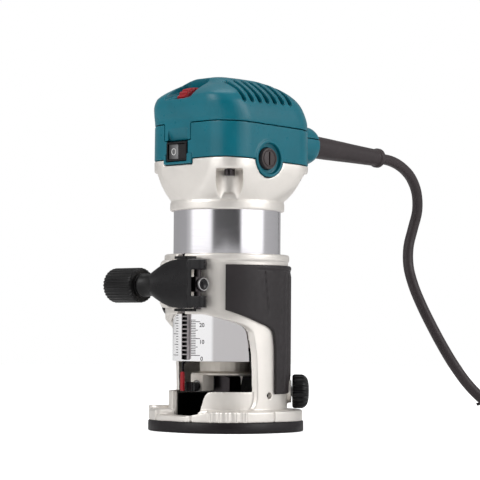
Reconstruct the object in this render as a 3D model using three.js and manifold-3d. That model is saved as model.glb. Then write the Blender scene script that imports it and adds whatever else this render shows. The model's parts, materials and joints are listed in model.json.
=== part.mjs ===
// A compact trim router: a motor unit held in a cast clamp base, with its height adjustment,
// lock lever, switch, speed dial, spindle lock, guide screw and mains lead.
// Millimetres, +Z up. Shapes are drawn about the spindle axis with the table at z = 0; the front,
// with the switch and the rack, looks along -Y. The last lines shift everything so that the origin
// is under the middle of the tool.
import * as THREE from 'three';
import { mergeVertices } from 'three/addons/utils/BufferGeometryUtils.js';
import Module from 'manifold-3d';

const wasm = await Module();
wasm.setup();

// Driving dimensions
const TUBE_R = 32.5;                 // motor tube, the 65 mm size that fits the base
const TUBE_Z = [41.9, 137];
const COLLAR_BORE_R = 32.56;
const WALL_R = 37.2;                 // outside of the casting
const WALL_BORE_R = 33.5;            // inside of the casting below the collar
const GRIP_R = 39.2;
const SOLE_HALF = 45;
const SOLE_CORNER_R = 40;
const SOLE_TOP = 6.3;
const FLANGE_Z = [6.5, 13];
const BIT_HOLE_R = 15;
const RIM_Z = [101.8, 106.2];
const SLIT = 3.2;                    // half width of the slit in the collar's front
const GAP = 0.3;                     // between pieces that rest on each other
const RUNNING = 0.05;                // radial clearance of a turning fit
const RACK_MODULE = 0.8;
const PINION_TEETH = 16;
const RACK_PITCH_Y = -33.4;
const RACK_RAIL_X = [2.25, 2.65];      // the rails beside the rack's teeth
const PINION_R = RACK_MODULE * PINION_TEETH / 2;
const SHAFT_Y = RACK_PITCH_Y - PINION_R;
const SHAFT_Z = 87.5;
const SHAFT_R = 3;
const LEVER_PIN = [17.5, SHAFT_Y];
const LEVER_PIN_R = 2.2;
const SPINDLE_R = 4;
const HEAD = { halfX: 38.8, front: -35, rear: 41, corner: 18 };
const SHELL = 2.8;                   // wall of the head's shells
const LOW_SEAM = 163;                // seam heights at the front of the head
const TOP_SEAM = 184.4;
const SEAM_FALL = 0.038;             // how much the seams fall towards the rear
const BRUSH = { y: -2, z: 162.9 };
const SWITCH = { x: -7, z: 167.6, halfX: 9.5, halfZ: 6.2 };
const DIAL = { x: -5, y: -24.5, z: 196, r: 10.6 };
const BOSS_Z = 177;                  // axis of the cord boss
const BOSS_R = 12;
const CORD_R = 3.5;
const GUIDE_ANGLE = 47;              // guide screw, degrees from +X towards +Y
const GUIDE_Z = 23.9;
const GUIDE_STUD_R = 3;
const ORIGIN = [-6.5, 10.5];         // middle of the tool in plan, seen from the spindle axis

// Materials
const finish = (color, roughness, metalness = 0) =>
  new THREE.MeshStandardMaterial({ color, roughness, metalness });
const TEAL = finish(0x1e7280, 0.45);
const CASTING = finish(0xc6c1b8, 0.45, 0.7);
const STEEL = finish(0xd4d4d6, 0.3, 0.9);
const BLACK = finish(0x222024, 0.5);
const RUBBER = finish(0x363234, 0.8);
const CORD = finish(0x3a3436, 0.7);
const RED = finish(0xa83a38, 0.4);
const COPPER = finish(0xb87333, 0.4, 0.9);
const CARBON = finish(0x2c2c2e, 0.9);
const GREEN = finish(0x2f6a3a, 0.7);
const BRASS = finish(0xc9a24a, 0.35, 0.9);

// Solids: every maker below returns a manifold solid
function solid(geometry) {
  geometry.deleteAttribute('normal');
  geometry.deleteAttribute('uv');
  const merged = mergeVertices(geometry, 1e-4);
  const vertProperties = new Float32Array(merged.attributes.position.array);
  const triVerts = new Uint32Array(merged.index.array);
  const make = (faces) => new wasm.Manifold(new wasm.Mesh({ numProp: 3, vertProperties, triVerts: faces }));
  const made = make(triVerts);
  if (made.volume() > 0) return made;
  return make(triVerts.map((_, i) => triVerts[i - i % 3 + 2 - i % 3]));
}

const union = (...parts) => parts.reduce((sum, part) => sum.add(part));
const cut = (body, ...tools) => tools.reduce((rest, tool) => rest.subtract(tool), body);
const radians = (degrees) => degrees * Math.PI / 180;
const span = (side, a, b) => (side > 0 ? [a, b] : [-b, -a]);

function box([x0, x1], [y0, y1], [z0, z1]) {
  const shape = new THREE.BoxGeometry(x1 - x0, y1 - y0, z1 - z0);
  return solid(shape.translate((x0 + x1) / 2, (y0 + y1) / 2, (z0 + z1) / 2));
}

// A turned shape about Z from [radius, z] points
function turned(profile, segments = 24) {
  const points = profile.map(([r, z]) => new THREE.Vector2(r, z));
  return solid(new THREE.LatheGeometry([...points, points[0]], segments).rotateX(Math.PI / 2));
}

const disc = (r, [z0, z1], segments = 24) => turned([[0, z0], [r, z0], [r, z1], [0, z1]], segments);
const ring = (r0, r1, [z0, z1], segments = 24) =>
  turned([[r0, z0], [r1, z0], [r1, z1], [r0, z1]], segments);

const alongX = (body, y = 0, z = 0) => body.rotate([0, 90, 0]).translate([0, y, z]);
const alongY = (body, x = 0, z = 0) => body.rotate([-90, 0, 0]).translate([x, 0, z]);

function prism(points, [z0, z1]) {
  const shape = new THREE.Shape(points.map(([x, y]) => new THREE.Vector2(x, y)));
  const extruded = new THREE.ExtrudeGeometry(shape, { depth: z1 - z0, bevelEnabled: false });
  return solid(extruded.translate(0, 0, z0));
}

// Outline points are [x, z]; the solid runs from y0 to y1
const prismY = (points, [y0, y1]) => prism(points, [-y1, -y0]).rotate([90, 0, 0]);
// Outline points are [y, z]; the solid runs from x0 to x1
const prismX = (points, [x0, x1]) => prism(points, [x0, x1]).rotate([90, 0, 90]);

// A rectangle with round corners, as plan points
function roundRect(x0, x1, y0, y1, r, steps = 3) {
  const corners = [
    [x1 - r, y1 - r, 0], [x0 + r, y1 - r, 90], [x0 + r, y0 + r, 180], [x1 - r, y0 + r, 270],
  ];
  return corners.flatMap(([cx, cy, start]) => Array.from({ length: steps + 1 }, (_, i) => {
    const a = radians(start + 90 * i / steps);
    return [cx + r * Math.cos(a), cy + r * Math.sin(a)];
  }));
}

// A closed skin through rings of points, with every ring the same length
function skin(rings) {
  const count = rings[0].length;
  const position = rings.flat(2);
  const index = [];
  for (let k = 0; k + 1 < rings.length; k++) {
    for (let i = 0; i < count; i++) {
      const [a, b] = [k * count + i, k * count + (i + 1) % count];
      index.push(a, b, b + count, a, b + count, a + count);
    }
  }
  const last = (rings.length - 1) * count;
  for (let i = 1; i + 1 < count; i++) {
    index.push(0, i + 1, i, last, last + i, last + i + 1);
  }
  const geometry = new THREE.BufferGeometry();
  geometry.setAttribute('position', new THREE.Float32BufferAttribute(position, 3));
  geometry.setIndex(index);
  return solid(geometry);
}

// A curved block on a cylinder: stations are [angle, low z, high z], angles from -Y towards +X
function arcBlock(stations, r0, r1) {
  return skin(stations.map(([angle, low, high]) => {
    const [s, c] = [Math.sin(radians(angle)), -Math.cos(radians(angle))];
    return [[r0 * s, r0 * c, low], [r1 * s, r1 * c, low], [r1 * s, r1 * c, high], [r0 * s, r0 * c, high]];
  }));
}

// Straight-line value of y at x through [x, y] points
function through(points, x) {
  const k = Math.max(1, points.findIndex(([px]) => px >= x));
  const [[x0, y0], [x1, y1]] = [points[k - 1], points[k]];
  return y0 + (y1 - y0) * (x - x0) / (x1 - x0);
}

// A closed tube with its wall ribbed: every second meridian is pulled in
function ribbed(profile, ribs, depth, fromR) {
  const points = profile.map(([r, z]) => new THREE.Vector2(r, z));
  const lathe = new THREE.LatheGeometry([...points, points[0]], ribs * 2).rotateX(Math.PI / 2);
  const place = lathe.attributes.position;
  for (let i = 0; i < place.count; i++) {
    const meridian = Math.floor(i / (points.length + 1)) % (ribs * 2);
    const r = Math.hypot(place.getX(i), place.getY(i));
    if (meridian % 2 && r > fromR) {
      const k = (r - depth) / r;
      place.setXY(i, place.getX(i) * k, place.getY(i) * k);
    }
  }
  return solid(lathe);
}

// The rubber grip's lower edge: angle from the front, height
const GRIP_EDGE = [
  [46, 72.6], [61, 69.3], [75.6, 65.6], [88, 62.5], [93.6, 59.7], [96.7, 48.8], [97.2, 22.7],
];
const GRIP_TOP = 99.5;
// Chip window: its top edge, and the low wall under it
const WINDOW_TOP = [
  [0, 70], [23, 70], [36, 68.3], [49, 66.2], [61.6, 63.8], [66, 62.5], [68.5, 60], [73, 24.01],
];
const WINDOW_SILL = [
  [0, 9.9], [20, 9.9], [21, 13.2], [24, 17.5], [28, 21.5], [32, 23.6], [36, 24], [73, 24],
];
const mirrored = (angles) => [...angles.map((a) => -a).reverse(), ...angles.filter((a) => a > 0)];
// Turns a shape made along Z so that it points out along the guide screw's axis
const alongGuide = (body) => body.rotate([0, 90, 0]).rotate([0, 0, GUIDE_ANGLE]).translate([0, 0, GUIDE_Z]);

const router = new THREE.Group();
const tool = new THREE.Group();
const lead = new THREE.Group();
router.add(tool, lead);

function add(name, body, material, group = tool) {
  const { vertProperties, triVerts } = body.getMesh();
  const geometry = new THREE.BufferGeometry();
  geometry.setAttribute('position', new THREE.BufferAttribute(new Float32Array(vertProperties), 3));
  geometry.setIndex(new THREE.BufferAttribute(new Uint32Array(triVerts), 1));
  const mesh = new THREE.Mesh(geometry, material);
  mesh.name = name;
  group.add(mesh);
}

// Sole and its screws
const SCREW_CIRCLE_R = 35.4;
const SOLE_SCREWS = [60, 130, 230, 300].map((a) => [
  SCREW_CIRCLE_R * Math.sin(radians(a)), -SCREW_CIRCLE_R * Math.cos(radians(a)),
]);
const soleScrewHole = turned([[0, -1], [3.5, -1], [3.5, 1.3], [1.7, 3.2], [1.7, 18.5], [0, 18.5]], 10);
const soleScrew = turned([[0, 0.6], [3.1, 0.6], [3.1, 1], [1.4, 3], [1.4, 18], [0, 18]], 10);
const soleHoles = SOLE_SCREWS.map(([x, y]) => soleScrewHole.translate([x, y, 0]));
const soleOutline = (inset) => roundRect(
  -SOLE_HALF + inset, SOLE_HALF - inset, -SOLE_HALF + inset, SOLE_HALF - inset, SOLE_CORNER_R - inset, 11);

add('sub_base', cut(
  prism(soleOutline(0), [0, SOLE_TOP]),
  disc(BIT_HOLE_R, [-1, SOLE_TOP + 1]),
  ...soleHoles,
), BLACK);
SOLE_SCREWS.forEach(([x, y], i) => add(`sub_base_screw_${i + 1}`, soleScrew.translate([x, y, 0]), STEEL));

// Base casting
function flange() {
  const plate = prism(soleOutline(0.7), FLANGE_Z);
  const lobe = disc(7, [FLANGE_Z[0], 14.6], 20).translate([-36.5, -22.5, 0]);
  const frontStep = arcBlock([-20, -10, 0, 10, 20].map((a) => [a, 10, 14]), WALL_BORE_R, 52);
  const flutes = [-2, -1, 0, 1, 2].map((i) => disc(1.3, [5, 14], 8)
    .translate([47, 0, 0]).rotate([0, 0, 48 - 90 + i * 5.4]));
  const grooves = [-88, -20, 20, 88].map((a) => box([-0.4, 0.4], [-48, -43.6], [5, 14]).rotate([0, 0, a]));
  return cut(union(plate, lobe), disc(WALL_BORE_R + 1.5, [5, 15], 32), frontStep, ...flutes, ...grooves);
}

function wall() {
  const shell = turned([
    [WALL_BORE_R, FLANGE_Z[0]], [WALL_R, FLANGE_Z[0]], [WALL_R, RIM_Z[0]], [WALL_R + 0.7, RIM_Z[0] + 0.5],
    [WALL_R + 0.7, RIM_Z[1] - 0.6], [WALL_R, RIM_Z[1]], [COLLAR_BORE_R, RIM_Z[1]], [COLLAR_BORE_R, 68],
    [WALL_BORE_R, 66.5],
  ], 48);
  const angles = mirrored([0, 10, 20, 21, 25, 30, 36, 44, 52, 61.6, 66, 68.5, 73]);
  const window = angles.map((a) =>
    [a, through(WINDOW_SILL, Math.abs(a)), through(WINDOW_TOP, Math.abs(a))]);
  return cut(shell, arcBlock(window, 25, 45));
}

function gripFrame(side) {
  const edge = [42.5, 46, 53, 61, 68, 75.6, 82, 88, 93.6, 96.2].map((a) => {
    const z = through(GRIP_EDGE, Math.max(46, a));
    return [side * a, z - 2.3, z - 0.5];
  });
  const post = [42.5, 44.8].map((a) => [side * a, 71, RIM_Z[0] + 1]);
  return [arcBlock(edge, WALL_R - 1, WALL_R + 1.4), arcBlock(post, WALL_R - 1, WALL_R + 1.4)];
}

function clampLugs() {
  const housing = prismY(roundRect(-21, SLIT + 3, 79, 96.4, 5, 4), [-46, -33.6]);
  const tall = prismX(roundRect(-46.2, -31, 73.6, 102.2, 3.5, 4), [-9, 11.7]);
  return union(housing, tall).subtract(disc(COLLAR_BORE_R + 0.8, [66, 110], 30));
}

function baseCasting() {
  const guideBoss = alongGuide(disc(7, [34.5, 39.6], 16));
  const body = union(flange(), wall(), clampLugs(), ...gripFrame(1), ...gripFrame(-1), guideBoss);
  const setScrewHole = alongX(disc(1.9, [30, 45], 12), 0.8, 21.9);
  return cut(
    body,
    box([-SLIT, SLIT], [-50, -28], [66, 110]),
    alongX(disc(SHAFT_R + RUNNING, [-30, 30], 24), SHAFT_Y, SHAFT_Z),
    alongGuide(disc(GUIDE_STUD_R + RUNNING, [30, 50], 24)),
    setScrewHole,
    ...soleHoles,
  );
}
add('base_casting', baseCasting(), CASTING);

// Rubber grip
function rubberGrip() {
  const front = [46, 50, 55, 61, 68, 75.6, 82, 88, 93.6, 96.7, 97.2];
  const rear = [105, 113, 122, 131, 140, 149, 158, 167, 175, 180];
  const half = [...front.map((a) => [a, through(GRIP_EDGE, a)]), ...rear.map((a) => [a, 22.7])];
  const all = [...half, ...half.slice(0, -1).reverse().map(([a, z]) => [360 - a, z])];
  const pad = arcBlock(all.map(([a, z]) => [a, z, GRIP_TOP]), WALL_R + GAP, GRIP_R);
  return cut(pad, alongGuide(disc(9, [30, 50], 20)));
}
add('rubber_grip', rubberGrip(), RUBBER);

// Clamp block on the pinion shaft, with the two stub pins that carry the lock lever
const [pinX, pinY] = LEVER_PIN;
const stubPin = disc(LEVER_PIN_R, [0, 10.9], 20);
add('clamp_block', cut(
  box([12, 20.8], [SHAFT_Y - 4.4, SHAFT_Y + 3.4], [83.2, 91.8]),
  alongX(disc(SHAFT_R + RUNNING, [0, 30], 24), SHAFT_Y, SHAFT_Z),
  disc(LEVER_PIN_R + GAP, [91, 95], 20).translate([pinX, pinY, 0]),
  disc(LEVER_PIN_R + GAP, [80, 84], 20).translate([pinX, pinY, 0]),
), BLACK);
add('lever_pin_upper', stubPin.translate([pinX, pinY, 91.2]), STEEL);
add('lever_pin_lower', stubPin.translate([pinX, pinY, 72.9]), STEEL);

const clampCover = (z) => prism(roundRect(SLIT + 0.6, 15.4, -47, -37.6, 2, 3), z);
add('clamp_cover_upper', clampCover([102.5, 104.1]), BLACK);
add('clamp_cover_lower', clampCover([71.6, 73.2])
  .subtract(disc(3, [70, 75], 16).translate([pinX, pinY, 0])), BLACK);

// Lock lever: a bowed plate across the front, on two eyes
function lockLever() {
  const top = [[20.6, 102], [9, 102.2], [2, 100.9], [-6, 97.4], [-12, 95], [-14.5, 93]];
  const outline = [...top, ...top.map(([x, z]) => [x, 2 * SHAFT_Z + 0.6 - z]).reverse()];
  const plate = prismY(outline, [-51.2, -47.2]);
  const web = prism([[12.6, -50], [20.6, -50], [20.6, -47], [23, pinY], [12.1, pinY]], [73.8, 102.2]);
  const eye = disc(5.4, [73.8, 102.2], 24).translate([pinX, pinY, 0]);
  return cut(
    union(plate, web, eye),
    box([8, 30], [-47.2, -30], [80.5, 96.2]),
    disc(LEVER_PIN_R + RUNNING, [60, 110], 20).translate([pinX, pinY, 0]),
    box([-20, -8], [-48.4, -46], [84.5, 91]),
  );
}
add('lock_lever', lockLever(), BLACK);

// Height adjustment: knob, shaft with its pinion, washer and ring nut
function pinionShaft() {
  const tooth = RACK_MODULE * Math.PI;
  const outline = Array.from({ length: PINION_TEETH }, (_, i) => {
    const at = (r, offset) => {
      const a = (i * tooth + offset) / PINION_R;
      return [r * Math.cos(a), r * Math.sin(a)];
    };
    const [root, tip] = [PINION_R - 1.25 * RACK_MODULE, PINION_R + 0.9 * RACK_MODULE];
    return [at(root, -0.86), at(tip, -0.3), at(tip, 0.3), at(root, 0.86)];
  }).flat();
  const pinion = prism(outline, [-RACK_RAIL_X[0] + GAP, RACK_RAIL_X[0] - GAP]);
  return alongX(union(disc(SHAFT_R, [-48, 22.8], 24), pinion), SHAFT_Y, SHAFT_Z);
}
add('pinion_shaft', pinionShaft(), STEEL);
add('thrust_washer', alongX(ring(SHAFT_R + GAP, 5.6, [-22.4, -21.3], 24), SHAFT_Y, SHAFT_Z), STEEL);
add('shaft_nut', alongX(ring(SHAFT_R + GAP, 3.9, [21.1, 23], 24), SHAFT_Y, SHAFT_Z), STEEL);

const knobProfile = [
  [0, -58.5], [6.5, -58.5], [9.6, -57.4], [10.6, -54.5], [10.6, -34.5], [9.8, -32.4], [7, -32],
  [6.7, -31.5], [6.7, -22.7], [SHAFT_R + GAP, -22.7], [SHAFT_R + GAP, -48.4], [0, -48.4],
];
add('height_knob', alongX(ribbed(knobProfile, 18, 0.7, 9), SHAFT_Y, SHAFT_Z), BLACK);

// Guide clamp screw on the rear right corner
const guideKnobProfile = [
  [0, 50.3], [5, 50], [8.6, 48.6], [10.3, 46.4], [10.3, 41.4], [9.4, 40.3], [GUIDE_STUD_R + GAP, 40.3],
  [GUIDE_STUD_R + GAP, 46.6], [0, 46.6],
];
add('guide_screw_knob', alongGuide(ribbed(guideKnobProfile, 16, 0.7, 9.5)), BLACK);
add('guide_screw_stud', alongGuide(disc(GUIDE_STUD_R, [34.2, 46.3], 24)), STEEL);

// Motor tube, with a groove for its rack
add('motor_tube', cut(
  turned([
    [29.4, TUBE_Z[0]], [TUBE_R - 0.6, TUBE_Z[0]], [TUBE_R, TUBE_Z[0] + 0.6], [TUBE_R, TUBE_Z[1]],
    [29.4, TUBE_Z[1]],
  ], 48),
  box([-2.9, 2.9], [-40, -30.6], [42.7, 109]),
), STEEL);

function depthRack() {
  const tooth = RACK_MODULE * Math.PI;
  const [root, tip] = [RACK_PITCH_Y + 1.1 * RACK_MODULE, RACK_PITCH_Y - 0.9 * RACK_MODULE];
  const first = Math.ceil((43.4 + tooth / 2 - SHAFT_Z) / tooth - 0.5);
  const teeth = Array.from({ length: 25 }, (_, i) => {
    const z = SHAFT_Z + (first + i + 0.5) * tooth;
    return [[root, z - 0.84], [tip, z - 0.27], [tip, z + 0.27], [root, z + 0.84]];
  }).flat();
  const comb = prismX(
    [[-30.9, 43], [root, 43], ...teeth, [root, 108.7], [-30.9, 108.7]], [-RACK_RAIL_X[1], RACK_RAIL_X[1]]);
  return union(comb, ...[1, -1].map((side) => box(span(side, ...RACK_RAIL_X), [tip, -30.9], [43, 108.7])));
}
add('depth_rack', depthRack(), BLACK);

add('depth_pointer', union(
  box([-4.3, -3.5], [-32.2, -31.2], [34, 41.6]),
  prismX(roundRect(-32.7, -31.2, 24.2, 35.6, 0.7, 3), [-5.1, -2.8]),
  box([-4.3, -3.5], [-32.2, -29.6], [40.4, 41.6]),
), RED);

// Nose of the motor: bearing box with the spindle lock's bracket
const BEARING_BOX_Y = -24;
add('bearing_box', cut(
  turned([
    [0, 33.3], [20.4, 33.3], [21, 33.9], [21, 34.7], [16.5, 35.3], [16, 36], [16, 41.9], [29, 41.9],
    [29, 46], [0, 46],
  ], 32).add(box([-5.2, 5.2], [BEARING_BOX_Y, -15], [24.4, 34])),
  disc(6.6, [20, 40]),
  disc(10.9, [38, 50]),
  alongY(disc(2.3, [-30, -5], 16), 0, 27),
  alongY(disc(3.7, [-30, -20], 16), 0, 27),
), CASTING);
add('shaft_lock_button', union(
  prismY(roundRect(-4.3, 4.3, 24, 29.6, 1.2, 3), [-29.4, -26]),
  alongY(disc(2.2, [-26.5, -12], 16), 0, 27),
), BLACK);
add('lock_spring', alongY(ring(2.6, 3.3, [-23.7, -20.3], 16), 0, 27), STEEL);
add('lower_bearing', ring(SPINDLE_R + RUNNING, 10.6, [38.3, 45.5], 20), STEEL);
add('bearing_retainer', ring(6, 20, [46.3, 48], 20), STEEL);

// Rotor
add('spindle_shaft', turned([
  [0, 36.2], [0, 181], [SPINDLE_R - 0.5, 181], [SPINDLE_R, 180.4], [SPINDLE_R, 37], [6, 36.6], [6, 25],
  [4.9, 25], [4.3, 33.8],
], 20), STEEL);
add('collet', union(
  ring(3, 3.9, [21.6, 33.4], 24),
  turned([[3, 21.6], [4.6, 21.6], [5.3, 24.4], [3, 24.4]], 24),
), STEEL);
const nutRound = turned([[0, 20], [8, 20], [9.4, 21.4], [9.4, 31.5], [8.4, 32.9], [0, 32.9]], 36);
add('collet_nut', cut(
  disc(9.4, [20, 32.9], 6).intersect(nutRound),
  turned([[0, 19], [4.4, 19], [5.9, 24.4], [6.4, 24.6], [6.4, 34], [0, 34]], 20),
), STEEL);
add('cooling_fan', union(
  ring(SPINDLE_R + GAP, 27, [120, 121.6], 20),
  ring(SPINDLE_R + GAP, 8, [120, 131], 20),
  ...Array.from({ length: 9 }, (_, i) => box([7.5, 26.5], [-0.7, 0.7], [121, 130]).rotate([0, 0, i * 40])),
), BLACK);
add('armature_core', ring(SPINDLE_R + GAP, 18, [72, 114], 20), STEEL);
add('commutator', ring(SPINDLE_R + GAP, 11, [156, 170], 20), COPPER);
add('stator', ring(18.8, 29, [68, 116], 32), STEEL);
add('upper_bearing', ring(SPINDLE_R + RUNNING, 9.5, [173, 180], 20), STEEL);
add('bearing_bridge', cut(
  union(disc(12, [172.2, 182.5], 20), box([-34, 34], [-5, 5], [177.5, 181.8])),
  disc(9.8, [170, 180.4], 20),
  disc(5, [170, 190], 20),
), BLACK);

// Head: one outer form cut along two falling seams into the metal housing and the teal shells
const sectionAt = (z, t, shrink, steps) => {
  const mix = (a, b) => a + (b - a) * t;
  const round = TUBE_R + 1.7;
  return roundRect(
    -mix(round, HEAD.halfX) + shrink, mix(round, HEAD.halfX) - shrink,
    mix(-round, HEAD.front) + shrink, mix(round, HEAD.rear) - shrink,
    mix(round, HEAD.corner) - shrink, steps).map(([x, y]) => [x, y, z]);
};
const FLARE = [[138.6, 0], [142, 0.28], [146, 0.55], [152, 0.82], [158, 1], [TOP_SEAM + 1, 1]];
// Crown sections: z, front y, rear y, half width, corner radius
const CROWN = [
  [191, -36.2, 41, 38.8, 18], [196, -37, 40.6, 37.4, 18], [200, -36.6, 39.6, 34.6, 18],
  [203, -33.8, 38, 31, 17], [206, -29, 34, 26.5, 15], [209, -23.5, 25, 21, 12],
  [211.4, -19.5, 10, 15.5, 9], [212.6, -17, -2, 10, 6],
];

function headForm(shrink, steps = 3) {
  const flare = FLARE.map(([z, t]) => sectionAt(z, t, shrink, steps));
  const crown = CROWN.map(([z, front, rear, halfX, r]) => roundRect(
    -halfX + shrink, halfX - shrink, front + shrink, rear - shrink, r - Math.min(shrink, r - 1), steps)
    .map(([x, y]) => [x, y, z - shrink]));
  return skin([...flare, ...crown]);
}

// The space under a seam, as one big block whose top falls towards the rear
const underSeam = (zFront) => prismX([
  [-80, 100], [120, 100], [120, zFront - SEAM_FALL * (120 - HEAD.front)], [-80, zFront + SEAM_FALL * 45],
], [-70, 70]);

// The round boss at the rear that the cord guard comes out of
const bossForm = (r, end) => alongY(turned([
  [0, 30], [r, 30], [r, end - 7], [r * 0.9, end - 3], [r * 0.62, end], [0, end],
], 20), 0, BOSS_Z);
const brushBoss = (r, x0, x1) => alongX(disc(r, [x0, x1], 20), BRUSH.y, BRUSH.z);
const bothSides = (make) => [make(1), make(-1)];
const tongue = (grow) => box(
  [SWITCH.x - 11.2 - grow, SWITCH.x + 13.2 + grow], [-36, -30 + grow], [159.9 - grow, 166]);

function headShell() {
  const outer = union(headForm(0, 5), bossForm(BOSS_R, 72));
  const tray = box([DIAL.x - 14, DIAL.x + 14], [-44, -8], [191, 212]).intersect(headForm(0.4, 5));
  return union(outer.subtract(union(headForm(SHELL), bossForm(BOSS_R - SHELL, 68))), tray);
}

const HEAD_SCREWS = [[1, -1], [1, 1], [-1, 1], [-1, -1]].map(([sx, sy]) => [sx * 28.2, 3 + sy * 27.6]);
const POCKET_R = 8;
const pocketPlace = (x, y) => [x * 1.065, 3 + (y - 3) * 1.065, 0];
const screwPocket = disc(POCKET_R, [130, 155.9], 14);
const screwBore = disc(1.9, [150, 178], 10);
const screwColumn = disc(5.2, [157, 184], 10);
const headPockets = HEAD_SCREWS.map(([x, y]) => screwPocket.translate(pocketPlace(x, y)));
const headBores = HEAD_SCREWS.map(([x, y]) => screwBore.translate([x, y, 0]));
const headColumns = HEAD_SCREWS.map(([x, y]) => screwColumn.translate([x, y, 0]));
const shell = headShell();

function motorHousing() {
  const neck = ring(TUBE_R + GAP, TUBE_R + 1.7, [132.5, 141], 40);
  const posts = HEAD_SCREWS.map(([x, y]) => disc(POCKET_R + 2, [134, 166], 14).translate(pocketPlace(x, y)));
  const body = union(shell, neck, ...posts.map((post) => post.intersect(headForm(0.5))));
  return cut(
    body.intersect(underSeam(LOW_SEAM)),
    disc(TUBE_R + GAP, [120, TUBE_Z[1] + GAP], 40),
    ...headPockets, ...headBores,
    tongue(GAP),
    ...bothSides((side) => brushBoss(11 + GAP, ...span(side, 31, 42))),
  );
}
add('motor_housing', motorHousing(), CASTING);

const brushParts = (side) => [brushBoss(11, ...span(side, 33, 39.4)), brushBoss(8.4, ...span(side, 28, 35))];
function midHousing() {
  const walls = union(shell, ...headColumns.map((column) => column.intersect(headForm(0.5))), tongue(0),
    ...bothSides(brushParts).flat());
  const between = underSeam(TOP_SEAM).subtract(underSeam(LOW_SEAM + GAP));
  const low = union(tongue(0), ...bothSides((side) => brushBoss(11, ...span(side, 33, 39.4))));
  const room = union(between, low);
  return cut(
    walls.intersect(room),
    ...headBores,
    box(
      [SWITCH.x - SWITCH.halfX, SWITCH.x + SWITCH.halfX], [-40, -28],
      [SWITCH.z - SWITCH.halfZ, SWITCH.z + SWITCH.halfZ]),
    ...bothSides((side) => brushBoss(9.4, ...span(side, 36.6, 45))),
    ...bothSides((side) => brushBoss(6.7, ...span(side, 20, 45))),
    alongY(disc(7.7, [60, 80], 20), 0, BOSS_Z),
  );
}
add('mid_housing', midHousing(), TEAL);

const VENT_PITCH = 6.5;
const VENT_HALF = 1.5;
const ventY = Array.from({ length: 7 }, (_, i) => -21 + i * VENT_PITCH);
function topCover() {
  const cover = shell.subtract(underSeam(TOP_SEAM + GAP));
  const vents = ventY.flatMap((y) => bothSides((side) =>
    box(span(side, 22, 45), [y - VENT_HALF, y + VENT_HALF], [194, 216])));
  const pocket = box([-12, 12], [-6, 21], [0, 20]).rotate([20, 0, 0]).translate([DIAL.x, -36.8, 198.8]);
  const dialSlot = alongX(disc(DIAL.r + 0.9, [DIAL.x - 4.9, DIAL.x + 4.9], 20), DIAL.y, DIAL.z);
  return cut(cover, ...vents, pocket, dialSlot,
    alongY(disc(7.7, [60, 80], 20), 0, BOSS_Z));
}
add('top_cover', topCover(), TEAL);

HEAD_SCREWS.forEach(([x, y], i) => add(`head_screw_${i + 1}`,
  union(disc(3.2, [151.8, 155.6], 14), disc(1.6, [155, 177], 10)).translate([x, y, 0]), STEEL));

// Speed dial and its board
const dialProfile = [
  [0, -4.3], [DIAL.r - 0.6, -4.3], [DIAL.r, -3.7], [DIAL.r, 3.7], [DIAL.r - 0.6, 4.3], [0, 4.3],
];
add('speed_dial', alongX(ribbed(dialProfile, 20, 0.7, 9).translate([0, 0, DIAL.x]), DIAL.y, DIAL.z), RED);
add('speed_board', box([-22, 22], [-2, 24], [188, 189.6]), GREEN);

// Rocker switch: frame in the front wall, rocker that turns about an upright axis
const switchHalf = [SWITCH.halfX - GAP, SWITCH.halfZ - GAP];
add('switch_frame', cut(
  prismY(roundRect(SWITCH.x - switchHalf[0], SWITCH.x + switchHalf[0], SWITCH.z - switchHalf[1],
    SWITCH.z + switchHalf[1], 1.2, 3), [-35.6, -20]),
  box([SWITCH.x - 7.6, SWITCH.x + 7.6], [-40, -24], [SWITCH.z - 4.7, SWITCH.z + 4.7]),
), BLACK);
const rockerPlan = [
  [-6.3, -35.8], [0, -33.9], [6.3, -33.2], [6.3, -30.5], [3, -27.5], [-3, -27.5], [-6.3, -30.5],
];
add('switch_rocker', prism(
  rockerPlan.map(([x, y]) => [x + SWITCH.x, y]), [SWITCH.z - 4.4, SWITCH.z + 4.4]), BLACK);

// Brushes: cap, holder and carbon on each side
for (const [side, name] of [[1, 'right'], [-1, 'left']]) {
  const slot = box(span(side, 37.9, 42), [BRUSH.y - 0.8, BRUSH.y + 0.8], [BRUSH.z - 4.4, BRUSH.z + 4.4]);
  add(`brush_cap_${name}`, brushBoss(6.4, ...span(side, 34.4, 38.9)).subtract(slot), BLACK);
  const bore = box(span(side, 5, 30), [BRUSH.y - 2.7, BRUSH.y + 2.7], [BRUSH.z - 3.2, BRUSH.z + 3.2]);
  add(`brush_holder_${name}`, brushBoss(5.6, ...span(side, 12.6, 34)).subtract(bore), BRASS);
  add(`carbon_brush_${name}`, box(
    span(side, 11.2, 26), [BRUSH.y - 2.4, BRUSH.y + 2.4], [BRUSH.z - 2.9, BRUSH.z + 2.9]), CARBON);
}

// Mains lead. Places on it are [u, w, z]: u to the tool's right front-to-rear diagonal, w behind it
const DIAGONAL_DEG = 47;
const DIAGONAL = radians(DIAGONAL_DEG);
const place = ([u, w, z]) => new THREE.Vector3(
  u * Math.cos(DIAGONAL) - w * Math.sin(DIAGONAL), u * Math.sin(DIAGONAL) + w * Math.cos(DIAGONAL), z);
const GUARD_DROOP = 3.3;
const GUARD_LENGTH = 63.5;
const BOSS_END = 72;
const guardProfile = [
  [0, -12], [8, -12], [8, -9], [6.6, -9], [6.6, 0.4], [7.2, 0.6], [6.9, 12], [6.1, 36], [5.5, 58],
  [5.5, 60], [6.3, 60.6], [6.3, 63], [5.8, GUARD_LENGTH], [0, GUARD_LENGTH],
];
add('cord_guard', alongY(turned(guardProfile, 16)).rotate([-GUARD_DROOP, 0, 0])
  .translate([0, BOSS_END, BOSS_Z]), BLACK, lead);

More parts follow.
